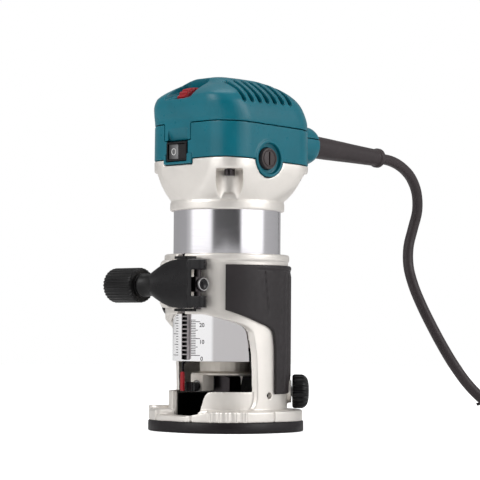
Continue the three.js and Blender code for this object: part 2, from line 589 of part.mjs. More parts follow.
const FLOOR = CORD_R + 0.1;
const CORD_ROUTE = [
  [107, 100.4, 172.4], [115.2, 109.8, 169], [122.2, 118.6, 162.6], [126.6, 125.4, 153], [127.4, 129, 141.4],
  [124.6, 129.6, 129.4], [121.6, 128.4, 117], [121.4, 126, 104.4], [124.4, 122.8, 91.4], [129.6, 119.4, 78],
  [136, 116, 64.4], [143.2, 113, 50.6], [151.2, 110.6, 37.2], [160.4, 109, 24.8], [171.4, 108, 14.4],
  [184, 107.6, 7.2], [197, 107.8, FLOOR],
];
const guardEnd = new THREE.Vector3(
  0, BOSS_END + (GUARD_LENGTH + GAP) * Math.cos(radians(GUARD_DROOP)),
  BOSS_Z - (GUARD_LENGTH + GAP) * Math.sin(radians(GUARD_DROOP)));
const COIL = { u: 226, w: 155.8, mid: 41, half: 10.5 };
const coilCentre = place([COIL.u, COIL.w, 0]);

function tube(points, segments) {
  const path = new THREE.CatmullRomCurve3(points, false, 'centripetal');
  const section = new THREE.Shape(Array.from({ length: 10 }, (_, i) =>
    new THREE.Vector2(CORD_R * Math.cos(i * Math.PI / 5), CORD_R * Math.sin(i * Math.PI / 5))));
  const options = { extrudePath: path, steps: segments, bevelEnabled: false };
  return solid(new THREE.ExtrudeGeometry(section, options));
}
add('mains_cord', tube([guardEnd, ...CORD_ROUTE.map(place)], 22), CORD, lead);
add('cord_coil', ring(COIL.mid - COIL.half, COIL.mid + COIL.half, [0.1, 2 * COIL.half], 36)
  .translate([coilCentre.x, coilCentre.y, 0]), CORD, lead);

// Past the coil the lead runs straight on to its plug
const TAIL_ANGLE = 120;              // from the diagonal, in degrees
const tailPoint = (along, z) => {
  const [c, s] = [Math.cos(radians(TAIL_ANGLE)), Math.sin(radians(TAIL_ANGLE))];
  const outer = COIL.mid + 2 * CORD_R;
  return place([COIL.u + outer * s + along * c, COIL.w - outer * c + along * s, z]);
};
add('cord_tail', tube([
  tailPoint(29, 12.4), tailPoint(34, 10.6), tailPoint(41, 8.8), tailPoint(51.7, 8),
], 5), CORD, lead);

const plugPlace = (body) => {
  const at = tailPoint(52, 0);
  return body.rotate([0, 0, TAIL_ANGLE + DIAGONAL_DEG]).translate([at.x, at.y, 0]);
};
add('plug_body', plugPlace(prism(roundRect(0, 38, -8, 8, 6, 5), [0.1, 16])), BLACK, lead);
bothSides((side) => add(`plug_pin_${side > 0 ? 1 : 2}`,
  plugPlace(alongX(disc(2, [38.3, 57], 14), side * 5, 8)), STEEL, lead));

router.position.set(-ORIGIN[0], -ORIGIN[1], 0);
export default router;
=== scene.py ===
"""A trim router on a pale studio floor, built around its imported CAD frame.

Lengths are millimetres about the spindle axis, with the table at z = 0 and the side with the
switch and the rack towards -Y. row_points() turns them into the frame's metres.
A solid is a pair: an array of points, and faces as tuples of point numbers.
"""

import json
import math

import bmesh
import bpy
import numpy as np
from mathutils import Matrix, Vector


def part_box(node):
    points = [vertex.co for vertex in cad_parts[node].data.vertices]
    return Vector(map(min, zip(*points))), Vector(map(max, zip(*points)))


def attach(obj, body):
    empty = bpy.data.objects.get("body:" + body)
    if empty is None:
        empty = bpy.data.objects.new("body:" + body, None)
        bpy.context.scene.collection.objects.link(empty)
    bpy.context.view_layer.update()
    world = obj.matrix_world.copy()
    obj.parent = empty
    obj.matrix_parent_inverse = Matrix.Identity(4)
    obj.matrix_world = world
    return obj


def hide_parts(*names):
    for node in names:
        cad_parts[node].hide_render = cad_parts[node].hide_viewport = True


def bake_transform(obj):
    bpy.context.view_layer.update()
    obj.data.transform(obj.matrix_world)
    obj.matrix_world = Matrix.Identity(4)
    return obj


MM = 0.001

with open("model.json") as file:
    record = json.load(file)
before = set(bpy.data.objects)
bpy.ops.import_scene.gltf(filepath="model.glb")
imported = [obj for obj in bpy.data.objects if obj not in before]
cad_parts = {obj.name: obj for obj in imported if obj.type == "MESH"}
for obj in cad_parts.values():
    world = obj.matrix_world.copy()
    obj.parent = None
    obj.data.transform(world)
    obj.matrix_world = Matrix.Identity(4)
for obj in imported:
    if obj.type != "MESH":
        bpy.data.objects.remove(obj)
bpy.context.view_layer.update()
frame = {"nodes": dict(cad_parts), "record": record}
tube_low, tube_high = (np.array(corner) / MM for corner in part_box("motor_tube"))

AXIS = np.array([*(tube_low + tube_high)[:2] / 2, 0.0])     # spindle axis, in the row frame
TUBE_R = (tube_high - tube_low)[0] / 2
TUBE_Z = (tube_low[2], tube_high[2])
RACK_TIP = -34.12                    # the crests of the rack's teeth
RAIL_X = 2.26                        # where the rails beside the teeth begin
SWITCH_X, SWITCH_Z = -7.0, 167.6
WALL_BORE_R, WALL_R = 33.5, 37.2


# ---------------------------------------------------------------- camera

VIEW_AZIMUTH = math.radians(47)      # from the front towards the right
CAMERA_REACH = 1270.0
CAMERA_HEIGHT = 62.0
CAMERA_PITCH = math.radians(2.41)
CAMERA_YAW = math.radians(0.356)
CAMERA_ROLL = math.radians(0.4)
SENSOR = 36.0
LENS = 156.75


def row_points(points):
    """Points in the script's millimetres as points in the row frame, in metres."""
    return (np.asarray(points, float).reshape(-1, 3) + AXIS) * MM


def add_camera():
    """The camera at the photograph's place, looking a little up and to the right of the axis."""
    heading = VIEW_AZIMUTH - CAMERA_YAW
    ahead = np.array([-math.sin(heading), math.cos(heading), 0])
    right = np.array([ahead[1], -ahead[0], 0])
    look = ahead * math.cos(CAMERA_PITCH) + np.array([0, 0, math.sin(CAMERA_PITCH)])
    up = np.cross(right, look)
    x_axis = right * math.cos(CAMERA_ROLL) + up * math.sin(CAMERA_ROLL)
    y_axis = up * math.cos(CAMERA_ROLL) - right * math.sin(CAMERA_ROLL)
    place = [
        CAMERA_REACH * math.sin(VIEW_AZIMUTH), -CAMERA_REACH * math.cos(VIEW_AZIMUTH), CAMERA_HEIGHT]
    matrix = np.eye(4)
    matrix[:3, :3] = np.array([x_axis, y_axis, -look]).T
    matrix[:3, 3] = row_points([place])[0]

    data = bpy.data.cameras.new("camera")
    data.sensor_width = SENSOR
    data.lens = LENS
    data.clip_start = 0.02
    camera = bpy.data.objects.new("camera", data)
    bpy.context.collection.objects.link(camera)
    camera.matrix_world = Matrix(matrix.tolist())
    bpy.context.scene.camera = camera


# ---------------------------------------------------------------- solids

def loft(rings, ends=True, closed=False):
    """A skin through rings of points; closed joins the last ring to the first."""
    rings = [np.asarray(ring, float) for ring in rings]
    count = len(rings[0])
    spans = len(rings) if closed else len(rings) - 1
    faces = []
    for k in range(spans):
        here, there = k * count, (k + 1) % len(rings) * count
        for i in range(count):
            j = (i + 1) % count
            faces.append((here + i, here + j, there + j, there + i))
    if ends and not closed:
        faces.append(tuple(range(count))[::-1])
        faces.append(tuple(range((len(rings) - 1) * count, len(rings) * count)))
    return np.concatenate(rings), faces


def circle(r, z, segments, ripple=None):
    """A ring of points; ripple gives how far each angle is pulled in."""
    angles = np.arange(segments) * 2 * math.pi / segments
    radii = r - (ripple(angles) if ripple else 0)
    return np.column_stack([radii * np.cos(angles), radii * np.sin(angles), np.full(segments, z)])


def turned(profile, segments=96, ripple=None, ribbed_from=math.inf):
    """A turned solid about Z. A profile that starts and ends on the axis is solid, else a ring."""
    on_axis = profile[0][0] == 0
    rings = [
        circle(r, z, segments, ripple if r > ribbed_from else None) for r, z in profile if r > 0]
    return loft(rings, ends=on_axis, closed=not on_axis)


def disc(r, low, high, segments=64):
    return turned([(0, low), (r, low), (r, high), (0, high)], segments)


def ring(inner, outer, low, high, segments=96):
    return turned([(inner, low), (outer, low), (outer, high), (inner, high)], segments)


def softened(points, reach, steps=3, closed=True):
    """An outline whose corners are short curves that start reach before each corner."""
    points = [np.asarray(p, float) for p in points]
    out = [] if closed else [points[0]]
    for i in range(0 if closed else 1, len(points) - (0 if closed else 1)):
        before, corner, after = points[i - 1], points[i], points[(i + 1) % len(points)]
        legs = []
        for other in (before, after):
            leg = other - corner
            length = np.linalg.norm(leg)
            legs.append(corner + leg * min(reach, 0.45 * length) / length)
        for t in np.linspace(0, 1, steps + 1):
            out.append((1 - t) ** 2 * legs[0] + 2 * t * (1 - t) * corner + t ** 2 * legs[1])
    return out if closed else [*out, points[-1]]


def round_rect(x0, x1, y0, y1, r, steps=10):
    """A rectangle with round corners, as plan points."""
    corners = [(x1 - r, y1 - r), (x0 + r, y1 - r), (x0 + r, y0 + r), (x1 - r, y0 + r)]
    points = []
    for quarter, (cx, cy) in enumerate(corners):
        for step in range(steps + 1):
            angle = (quarter + step / steps) * math.pi / 2
            points.append((cx + r * math.cos(angle), cy + r * math.sin(angle)))
    return points


def prism(outline, low, high):
    return loft([[(x, y, z) for x, y in outline] for z in (low, high)])


def block(x, y, z):
    return prism([(x[0], y[0]), (x[1], y[0]), (x[1], y[1]), (x[0], y[1])], *z)


def prism_y(outline, front, rear):
    """A prism along Y from [x, z] points."""
    return loft([[(x, y, z) for x, z in outline] for y in (front, rear)])


def prism_x(outline, left, right):
    """A prism along X from [y, z] points."""
    return loft([[(x, y, z) for y, z in outline] for x in (left, right)])


def mapped(solid, matrix, shift=(0, 0, 0)):
    points, faces = solid
    return points @ np.array(matrix, float).T + np.array(shift, float), faces


def moved(solid, x=0, y=0, z=0):
    return solid[0] + np.array([x, y, z], float), solid[1]


def to_x(solid, y=0, z=0):
    """Turns a solid made along Z so that it lies along X."""
    return mapped(solid, [[0, 0, 1], [0, 1, 0], [-1, 0, 0]], (0, y, z))


def to_y(solid, x=0, z=0):
    return mapped(solid, [[1, 0, 0], [0, 0, 1], [0, -1, 0]], (x, 0, z))


def swung(solid, degrees):
    """Turns a solid about Z."""
    c, s = math.cos(math.radians(degrees)), math.sin(math.radians(degrees))
    return mapped(solid, [[c, -s, 0], [s, c, 0], [0, 0, 1]])


def tilted(solid, degrees):
    """Turns a solid about X."""
    c, s = math.cos(math.radians(degrees)), math.sin(math.radians(degrees))
    return mapped(solid, [[1, 0, 0], [0, c, -s], [0, s, c]])


def on_wall(angle, r):
    """The plan point at an angle from the front towards the right, in degrees."""
    return r * math.sin(math.radians(angle)), -r * math.cos(math.radians(angle))


def arc_block(stations, r0, r1, step=1.5):
    """A curved block on a cylinder through [angle, low z, high z] stations."""
    angles, lows, highs = np.array(stations, float).T
    count = max(2, int((angles[-1] - angles[0]) / step) + 1)
    rings = []
    for angle in np.linspace(angles[0], angles[-1], count):
        low, high = eased(angles, lows, angle), eased(angles, highs, angle)
        inner, outer = on_wall(angle, r0), on_wall(angle, r1)
        rings.append([(*inner, low), (*outer, low), (*outer, high), (*inner, high)])
    return loft(rings)


def eased(xs, ys, x):
    """A smooth curve through points that never swings past them."""
    xs, ys = np.asarray(xs, float), np.asarray(ys, float)
    steps, slopes = np.diff(xs), np.diff(ys) / np.diff(xs)
    bends = np.zeros(len(xs))
    bends[0], bends[-1] = slopes[0], slopes[-1]
    for i in range(1, len(xs) - 1):
        if slopes[i - 1] * slopes[i] > 0:
            bends[i] = 2 * slopes[i - 1] * slopes[i] / (slopes[i - 1] + slopes[i])
    k = int(np.clip(np.searchsorted(xs, x) - 1, 0, len(xs) - 2))
    t = (x - xs[k]) / steps[k]
    return (
        (1 + 2 * t) * (1 - t) ** 2 * ys[k] + t * (1 - t) ** 2 * steps[k] * bends[k]
        + t * t * (3 - 2 * t) * ys[k + 1] + t * t * (t - 1) * steps[k] * bends[k + 1])


def curve_through(points, spacing):
    """A smooth line through points, sampled about every spacing."""
    points = np.asarray(points, float)
    knots = np.concatenate([[0], np.cumsum(np.linalg.norm(np.diff(points, axis=0), axis=1))])
    tangents = np.gradient(points, knots, axis=0)
    line = [points[0]]
    for k, gap in enumerate(np.diff(knots)):
        count = max(1, round(gap / spacing))
        for t in np.arange(1, count + 1) / count:
            line.append(
                (1 + 2 * t) * (1 - t) ** 2 * points[k] + t * (1 - t) ** 2 * gap * tangents[k]
                + t * t * (3 - 2 * t) * points[k + 1] + t * t * (t - 1) * gap * tangents[k + 1])
    return np.array(line)


def swept(line, radius, sides=16):
    """A round tube along a line, without twist."""
    line = np.asarray(line, float)
    directions = np.gradient(line, axis=0)
    directions /= np.linalg.norm(directions, axis=1)[:, None]
    side = np.cross(directions[0], (0, 0, 1))
    angles = np.arange(sides) * 2 * math.pi / sides
    rings = []
    for point, direction in zip(line, directions):
        side = side - direction * np.dot(side, direction)
        side /= np.linalg.norm(side)
        other = np.cross(direction, side)
        rings.append(
            point + radius * (np.cos(angles)[:, None] * side + np.sin(angles)[:, None] * other))
    return loft(rings)


# ---------------------------------------------------------------- objects

def make(name, *solids):
    """One object from solids that don't cross each other."""
    points, faces, offset = [], [], 0
    for solid_points, solid_faces in solids:
        points.append(solid_points)
        faces += [tuple(i + offset for i in face) for face in solid_faces]
        offset += len(solid_points)
    mesh = bpy.data.meshes.new(name)
    mesh.from_pydata(row_points(np.concatenate(points)).tolist(), [], faces)
    shape = bmesh.new()
    shape.from_mesh(mesh)
    bmesh.ops.recalc_face_normals(shape, faces=shape.faces)
    shape.to_mesh(mesh)
    shape.free()
    obj = bpy.data.objects.new(name, mesh)
    bpy.context.collection.objects.link(obj)
    return obj


def settle(obj):
    """Puts the result of an object's modifiers in its mesh."""
    graph = bpy.context.evaluated_depsgraph_get()
    mesh = bpy.data.meshes.new_from_object(obj.evaluated_get(graph))
    obj.modifiers.clear()
    obj.data = mesh


ADD, CUT, KEEP = "UNION", "DIFFERENCE", "INTERSECT"


def carve(obj, *steps):
    """Applies (operation, tool, ...) steps to an object in turn.

    The tools of a step are solids that don't cross each other, or one object.
    """
    for operation, *tools in steps:
        is_object = isinstance(tools[0], bpy.types.Object)
        tool = tools[0] if is_object else make("tool", *tools)
        boolean = obj.modifiers.new(operation, "BOOLEAN")
        boolean.operation = operation
        boolean.solver = "MANIFOLD"
        boolean.object = tool
        settle(obj)
        bpy.data.objects.remove(tool)
    return obj


def combine(name, first, *steps):
    return carve(make(name, first), *steps)


def moulded(obj, voxel=0.5, smoothing=2, keep=0.3):
    """Gives a solid the small round edges of a casting or a moulding."""
    remesh = obj.modifiers.new("voxels", "REMESH")
    remesh.mode = "VOXEL"
    remesh.voxel_size = voxel * MM
    smooth = obj.modifiers.new("smooth", "SMOOTH")
    smooth.factor = 0.5
    smooth.iterations = smoothing
    thin = obj.modifiers.new("thin", "DECIMATE")
    thin.ratio = keep
    settle(obj)
    return obj


def smooth_shaded(obj, sharp=math.radians(40)):
    obj.data.shade_smooth()
    obj.data.set_sharp_from_angle(angle=sharp)


def finished(obj, body, slot, *nodes, material=None, sharp=math.radians(40)):
    """Puts a piece on its body, in its material, in place of its CAD nodes."""
    smooth_shaded(obj, sharp)
    obj.data.materials.clear()
    obj.data.materials.append(MATERIALS[material or slot])
    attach(obj, body)
    if nodes:
        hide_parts(*nodes)
    return obj


# ---------------------------------------------------------------- mains lead

CORD_R = 3.5
BOSS_END = 72.0                      # where the guard leaves the boss at the rear
BOSS_Z = 177.0
GUARD_LENGTH = 63.5
GUARD_DROOP = math.radians(3.3)
GAP = 0.3
CORD_FLOOR = CORD_R + 0.35
DIAGONAL = math.radians(47)
CORD_ROUTE = [
    (107, 100.4, 172.4), (115.2, 109.8, 169), (122.2, 118.6, 162.6), (126.6, 125.4, 153),
    (127.4, 129, 141.4), (124.6, 129.6, 129.4), (121.6, 128.4, 117), (121.4, 126, 104.4),
    (124.4, 122.8, 91.4), (129.6, 119.4, 78), (136, 116, 64.4), (143.2, 113, 50.6),
    (151.2, 110.6, 37.2), (160.4, 109, 24.8), (171.4, 108, 14.4), (184, 107.6, 7.2),
    (197, 107.8, CORD_FLOOR),
]
COIL_U, COIL_W = 226.0, 155.8
COIL_OUTER = 48.0
TURN_PITCH = 7.0
# Each turn's place in the coil: how many pitches in from the outer turn, and its layer
COIL_TURNS = [(0, 0), (1, 0), (2, 0), (2, 1), (1, 1), (0, 1), (1, 2), (0, 2), (0, 2)]
COIL_END = math.radians(30)
TAIL = [(29, 12.4), (34, 10.6), (41, 8.8), (51.7, 8)]
TAIL_ANGLE = 120
PLUG_ALONG = 52.0
TIE_ANGLE = math.radians(200)


def on_diagonal(u, w, z):
    """A point from its distance along the tool's diagonal u, beside it w, and its height."""
    c, s = math.cos(DIAGONAL), math.sin(DIAGONAL)
    return np.array([u * c - w * s, u * s + w * c, z])


def guard_end():
    reach = GUARD_LENGTH + GAP
    return np.array([
        0, BOSS_END + reach * math.cos(GUARD_DROOP), BOSS_Z - reach * math.sin(GUARD_DROOP)])


def coil_point(angle, inset, layer):
    """A place in the coil; its turns lift a little over the tie."""
    wander = 0.5 * math.sin(2 * angle + 0.6) + 0.3 * math.sin(3 * angle + 2)
    r = COIL_OUTER - 0.8 - inset * TURN_PITCH + wander
    lift = 1.1 * math.exp(-((math.remainder(angle - TIE_ANGLE, 2 * math.pi)) / 0.25) ** 2)
    z = CORD_FLOOR + layer * TURN_PITCH + lift
    return on_diagonal(COIL_U + r * math.cos(angle), COIL_W + r * math.sin(angle), z)


def coil_line(per_turn=60):
    """The turns one after another; each slips to the next place in its last sixth."""
    start = -math.pi / 2
    total = 8 * 2 * math.pi + COIL_END - start
    line = []
    for step in range(1, int(total / (2 * math.pi) * per_turn) + 1):
        angle = step * 2 * math.pi / per_turn
        turn = int(angle / (2 * math.pi))
        share = (angle / (2 * math.pi) - turn) * 6 - 5
        slip = max(0.0, share) ** 2 * (3 - 2 * max(0.0, share))
        here, there = (np.array(COIL_TURNS[min(turn + k, 8)], float) for k in (0, 1))
        inset, layer = here + (there - here) * slip
        line.append(coil_point(start + angle, inset, layer))
    return line


def tail_point(along, z, outer=COIL_OUTER):
    c, s = math.cos(math.radians(TAIL_ANGLE)), math.sin(math.radians(TAIL_ANGLE))
    return on_diagonal(COIL_U + outer * s + along * c, COIL_W - outer * c + along * s, z)


def cord_line():
    falling = [guard_end(), *(on_diagonal(*point) for point in CORD_ROUTE)]
    coil = coil_line()
    tail = [tail_point(along, z) for along, z in [(10, 17), *TAIL]]
    into_coil = curve_through([*falling, on_diagonal(212, 107.8, CORD_FLOOR), *coil[:2]], 3)
    out_of_coil = curve_through([*coil[-2:], *tail], 3)
    return np.concatenate([into_coil, coil[2:-2], out_of_coil])


def add_cord():
    line = cord_line()
    cord = make("mains_lead", swept(line, CORD_R))
    smooth_shaded(cord, math.pi)
    cord.data.materials.append(MATERIALS["cord_sheath"])
    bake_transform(cord)
    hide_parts("mains_cord", "cord_coil", "cord_tail")
    add_plug()
    add_tie()


def add_plug():
    """The plug: a grip with waisted sides, ribs behind, and a short sleeve for the lead."""
    sections = [(0, 3.9, 4.2), (1, 5.2, 5.4), (5, 5.8, 5.8), (9, 5.6, 5.4), (13, 6.8, 6.4),
                (20, 7.6, 7.4), (26, 6.9, 7), (32, 7.8, 7.8), (36.5, 8, 7.9), (38, 7.4, 7.3)]
    alongs, halves, heights = np.array(sections, float).T
    rings = []
    for along in np.linspace(0, 38, 58):
        half, height = eased(alongs, halves, along), eased(alongs, heights, along)
        if 13 < along < 26:
            half -= 0.35 * (1 + math.cos(along * 2 * math.pi / 3.2))
        outline = round_rect(-half, half, -height, height, 0.8 * min(half, height), 8)
        rings.append([(along, y, 8 + z) for y, z in outline])
    plug = loft(rings)
    base = tail_point(PLUG_ALONG, 0)
    plug = moved(swung(plug, TAIL_ANGLE + math.degrees(DIAGONAL)), *base)
    return finished(
        make("plug", plug), "base", "black_plastic", "plug_body", material="cord_sheath")


def add_tie():
    """A twisted wire tie round the coil."""
    middle = COIL_OUTER - 0.8 - TURN_PITCH
    half, low, high = 11.6, 0.6, 22.6     # across the coil, under it and over it
    outline = round_rect(middle - half, middle + half, low, high, 7, 8)
    c, s = math.cos(TIE_ANGLE), math.sin(TIE_ANGLE)
    loop = [on_diagonal(COIL_U + r * c, COIL_W + r * s, z) for r, z in [*outline, outline[0]]]
    ends = []
    for side in (1, -1):
        twist = []
        for t in np.linspace(0, 1, 30):
            angle = t * 5 * math.pi + (0 if side > 0 else math.pi)
            r = middle + half + 0.5 + 9 * t
            twist.append(on_diagonal(
                COIL_U + r * c - 0.6 * math.cos(angle) * s,
                COIL_W + r * s + 0.6 * math.cos(angle) * c, 12 + 0.6 * math.sin(angle)))
        ends.append(swept(twist, 0.5, 8))
    tie = make("cord_tie", swept(loop, 0.55, 10), *ends)
    return finished(tie, "base", "black_plastic", material="black_plastic")


# ---------------------------------------------------------------- materials

def srgb(r, g, b):
    """A colour given as screen values from 0 to 255, in linear light."""
    def linear(value):
        value /= 255
        return value / 12.92 if value <= 0.04045 else ((value + 0.055) / 1.055) ** 2.4
    return np.array([linear(r), linear(g), linear(b)])


class Graph:
    """A node tree being built; a value may be a number, a colour or another node's socket."""

    def __init__(self, tree):
        self.nodes, self.links = tree.nodes, tree.links

    def put(self, socket, value):
        if isinstance(value, bpy.types.NodeSocket):
            self.links.new(value, socket)
        elif np.ndim(value):
            socket.default_value = (*value, 1)
        else:
            socket.default_value = value

    def math(self, operation, *values):
        node = self.nodes.new("ShaderNodeMath")
        node.operation = operation
        for socket, value in zip(node.inputs, values):
            self.put(socket, value)
        return node.outputs["Value"]

    def ranged(self, value, low, high, start=0.3, end=0.7):
        """Takes start...end of a value to low...high, and clamps it there."""
        node = self.nodes.new("ShaderNodeMapRange")
        for socket, number in zip(node.inputs, (value, start, end, low, high)):
            self.put(socket, number)
        return node.outputs["Result"]

    def mixed(self, factor, first, second):
        """Mixes two colours."""
        node = self.nodes.new("ShaderNodeMix")
        node.data_type = "RGBA"
        for index, value in ((0, factor), (6, first), (7, second)):
            self.put(node.inputs[index], value)
        return node.outputs[2]

    def split(self, vector):
        """The X, Y and Z of a vector."""
        node = self.nodes.new("ShaderNodeSeparateXYZ")
        self.links.new(vector, node.inputs["Vector"])
        return node.outputs

    def for_camera(self):
        """1 for what the camera sees straight, else 0."""
        return self.nodes.new("ShaderNodeLightPath").outputs["Is Camera Ray"]


class Finish(Graph):
    """A material built on Object coordinates, which are the row frame's metres."""

    def __init__(self, name, roughness, metallic=0.0, **constants):
        self.material = bpy.data.materials.new(name)
        self.material.use_nodes = True
        super().__init__(self.material.node_tree)
        self.shader = self.nodes["Principled BSDF"]
        self.shader.inputs["Roughness"].default_value = roughness
        self.shader.inputs["Metallic"].default_value = metallic
        for socket, value in constants.items():
            self.shader.inputs[socket.replace("_", " ")].default_value = value
        self.place = self.nodes.new("ShaderNodeTexCoord").outputs["Object"]

    def noise(self, scale, detail=3.0, stretch=(1, 1, 1)):
        """Noise of scale cycles per metre, drawn out by stretch."""
        mapping = self.nodes.new("ShaderNodeMapping")
        mapping.inputs["Scale"].default_value = stretch
        self.links.new(self.place, mapping.inputs["Vector"])
        texture = self.nodes.new("ShaderNodeTexNoise")
        texture.inputs["Scale"].default_value = scale
        texture.inputs["Detail"].default_value = detail
        self.links.new(mapping.outputs["Vector"], texture.inputs["Vector"])
        return texture.outputs["Fac"]

    def axes(self):
        """X, Y and Z from the spindle's axis."""
        x, y, z = self.split(self.place)
        return self.math("SUBTRACT", x, AXIS[0] * MM), self.math("SUBTRACT", y, AXIS[1] * MM), z

    def worn(self, colour, edge_colour, amount):
        """Lighter where the surface is most convex, broken up by noise."""
        edges = self.ranged(
            self.nodes.new("ShaderNodeNewGeometry").outputs["Pointiness"], 0, amount, 0.52, 0.62)
        patchy = self.math("MULTIPLY", edges, self.ranged(self.noise(400), 0.2, 1, 0.35, 0.6))
        return self.mixed(patchy, colour, edge_colour)

    def colour(self, value):
        self.links.new(value, self.shader.inputs["Base Color"])

    def roughness(self, value):
        self.links.new(value, self.shader.inputs["Roughness"])

    def bump(self, value, depth, strength=1.0):
        """Relief whose full height is depth, in millimetres."""
        node = self.nodes.new("ShaderNodeBump")
        node.inputs["Strength"].default_value = strength
        node.inputs["Distance"].default_value = depth * MM
        self.links.new(value, node.inputs["Height"])
        previous = self.shader.inputs["Normal"].links
        if previous:
            self.links.new(previous[0].from_socket, node.inputs["Normal"])
        self.links.new(node.outputs["Normal"], self.shader.inputs["Normal"])


def moulded_plastic(name, colour, roughness, grain=0.03, edge=1.35, gloss=0.3):
    finish = Finish(name, roughness, Specular_IOR_Level=gloss)
    mottle = finish.ranged(finish.noise(60), 0, 1)
    base = finish.mixed(mottle, colour * 0.93, colour * 1.07)
    finish.colour(finish.worn(base, colour * edge + 0.01, 0.5))
    finish.roughness(finish.ranged(finish.noise(250), roughness - 0.05, roughness + 0.07))
    finish.bump(finish.noise(2600, 2), grain, 0.6)
    finish.bump(finish.noise(420, 2), 0.05, 0.12)
    return finish.material


def cast_metal(name, colour, roughness, grain, shade=None):
    """Blasted casting; shade gives a socket that is 1 where painted shade makes the casting near
    black.
    """
    finish = Finish(name, roughness, metallic=0.7)
    mottle = finish.ranged(finish.noise(90, 5), 0, 1)
    base = finish.mixed(mottle, colour * 0.97, np.minimum(colour * 1.03, 0.97))
    base = finish.worn(base, np.minimum(colour * 1.2, 0.97), 0.4)
    # Painted shade: near black wherever shade() gives 1, the dark bore under the motor.
    finish.colour(finish.mixed(shade(finish), base, srgb(12, 10, 11)) if shade else base)
    finish.roughness(finish.ranged(finish.noise(500), roughness - 0.05, roughness + 0.08))
    finish.bump(finish.noise(1900, 3), grain, 0.5)
    return finish.material


def bore_black(finish):
    """1 on the rear of the base's bore below the motor, where painted shade makes the casting near
    black.
    """
    x, y, z = finish.axes()
    squares = finish.math("ADD", finish.math("POWER", x, 2), finish.math("POWER", y, 2))
    inside = finish.math("LESS_THAN", finish.math("SQRT", squares), (WALL_BORE_R + 0.5) * MM)
    rear = finish.math("GREATER_THAN", y, -14 * MM)
    top = finish.ranged(x, 22 * MM, 50 * MM, -18 * MM, -13 * MM)
    inner_rear = finish.math("MULTIPLY", inside, rear)
    return finish.math("MULTIPLY", inner_rear, finish.math("LESS_THAN", z, top))


def tube_metal(name):
    """Brushed tube; on its lower part beside the scale, a painted highlight makes it white at the left
    and a painted reflection greys it, streaked, to the right.
    """
    finish = Finish(name, 0.13, metallic=1.0, Anisotropic=0.3)
    x, _, z = finish.axes()
    marks = finish.noise(2500, 2, (0.02, 0.02, 1))
    # Painted highlight and painted reflection on the lower part: white left of the split, grey with
    # streaks right of it.
    reflection_split = finish.ranged(x, 0, 1, 16.6 * MM, 18.2 * MM)
    lower_part = finish.ranged(z, 1, 0, 86 * MM, 96 * MM)
    streaks = finish.ranged(finish.noise(900, 3, (1, 1, 0.004)), 0.9, 1.1)
    plain = finish.mixed(finish.ranged(marks, 0, 1), srgb(228, 226, 230), srgb(236, 234, 238))
    greyed = finish.mixed(streaks, srgb(190, 187, 188), srgb(204, 201, 202))
    painted_reflection = finish.mixed(reflection_split, srgb(255, 254, 255), greyed)
    finish.colour(finish.mixed(lower_part, plain, painted_reflection))
    finish.roughness(finish.ranged(finish.noise(40, 3), 0.1, 0.16))
    finish.bump(marks, 0.002, 0.3)
    return finish.material


def soft_rubber(name, colour, roughness, grain):
    finish = Finish(name, roughness, Specular_IOR_Level=0.4)
    mottle = finish.ranged(finish.noise(45, 4), 0, 1)
    finish.colour(finish.mixed(mottle, colour * 0.88, colour * 1.14))
    finish.roughness(finish.ranged(finish.noise(300), roughness - 0.06, roughness + 0.08))
    finish.bump(finish.noise(3200, 2), grain, 0.7)
    return finish.material


def plain_metal(name, colour, roughness):
    finish = Finish(name, roughness, metallic=1.0)
    finish.colour(finish.mixed(finish.ranged(finish.noise(120), 0, 1), colour * 0.93, colour))
    finish.roughness(finish.ranged(finish.noise(200), roughness - 0.03, roughness + 0.06))
    finish.bump(finish.noise(1200), 0.003, 0.2)
    return finish.material


def rocker_plastic(name):
    """Glossy black; on the half marked O, a painted reflection shades it to grey towards the middle.
    """
    finish = Finish(name, 0.24)
    x = finish.axes()[0]
    middle = SWITCH_X * MM
    # Painted reflection: grey rising towards the middle, on the O half only.
    sheen_fade = finish.ranged(x, 0, 1, middle - 6 * MM, middle - 0.6 * MM)
    sheen_half = finish.ranged(x, 1, 0, middle - 0.5 * MM, middle - 0.2 * MM)
    mottle = finish.ranged(finish.noise(300), 0, 1)
    grey = finish.mixed(mottle, srgb(128, 128, 130), srgb(140, 140, 142))
    greyed = finish.math("MULTIPLY", sheen_fade, sheen_half)
    finish.colour(finish.mixed(greyed, srgb(14, 12, 15), grey))
    finish.bump(finish.noise(2600, 2), 0.02, 0.3)
    return finish.material


def rack_metal(name):
    """Bright along the tips and the rails, with painted shade making it black down in the gaps."""
    finish = Finish(name, 0.4, metallic=0.5)
    x, y, _ = finish.axes()
    crests = finish.ranged(y, 1, 0, (RACK_TIP + 0.1) * MM, (RACK_TIP + 0.5) * MM)
    rails = finish.ranged(finish.math("ABSOLUTE", x), 0, 1, RAIL_X * MM, (RAIL_X + 0.05) * MM)
    out_of_shade = finish.math("MAXIMUM", crests, rails)
    mottle = finish.ranged(finish.noise(700), 0, 1)
    bright = finish.mixed(mottle, srgb(160, 154, 156), srgb(188, 182, 184))
    # Painted shade: black wherever the gaps between teeth lie, away from the crests and rails.
    finish.colour(finish.mixed(out_of_shade, srgb(14, 12, 14), bright))
    finish.bump(finish.noise(1500), 0.02, 0.4)
    return finish.material


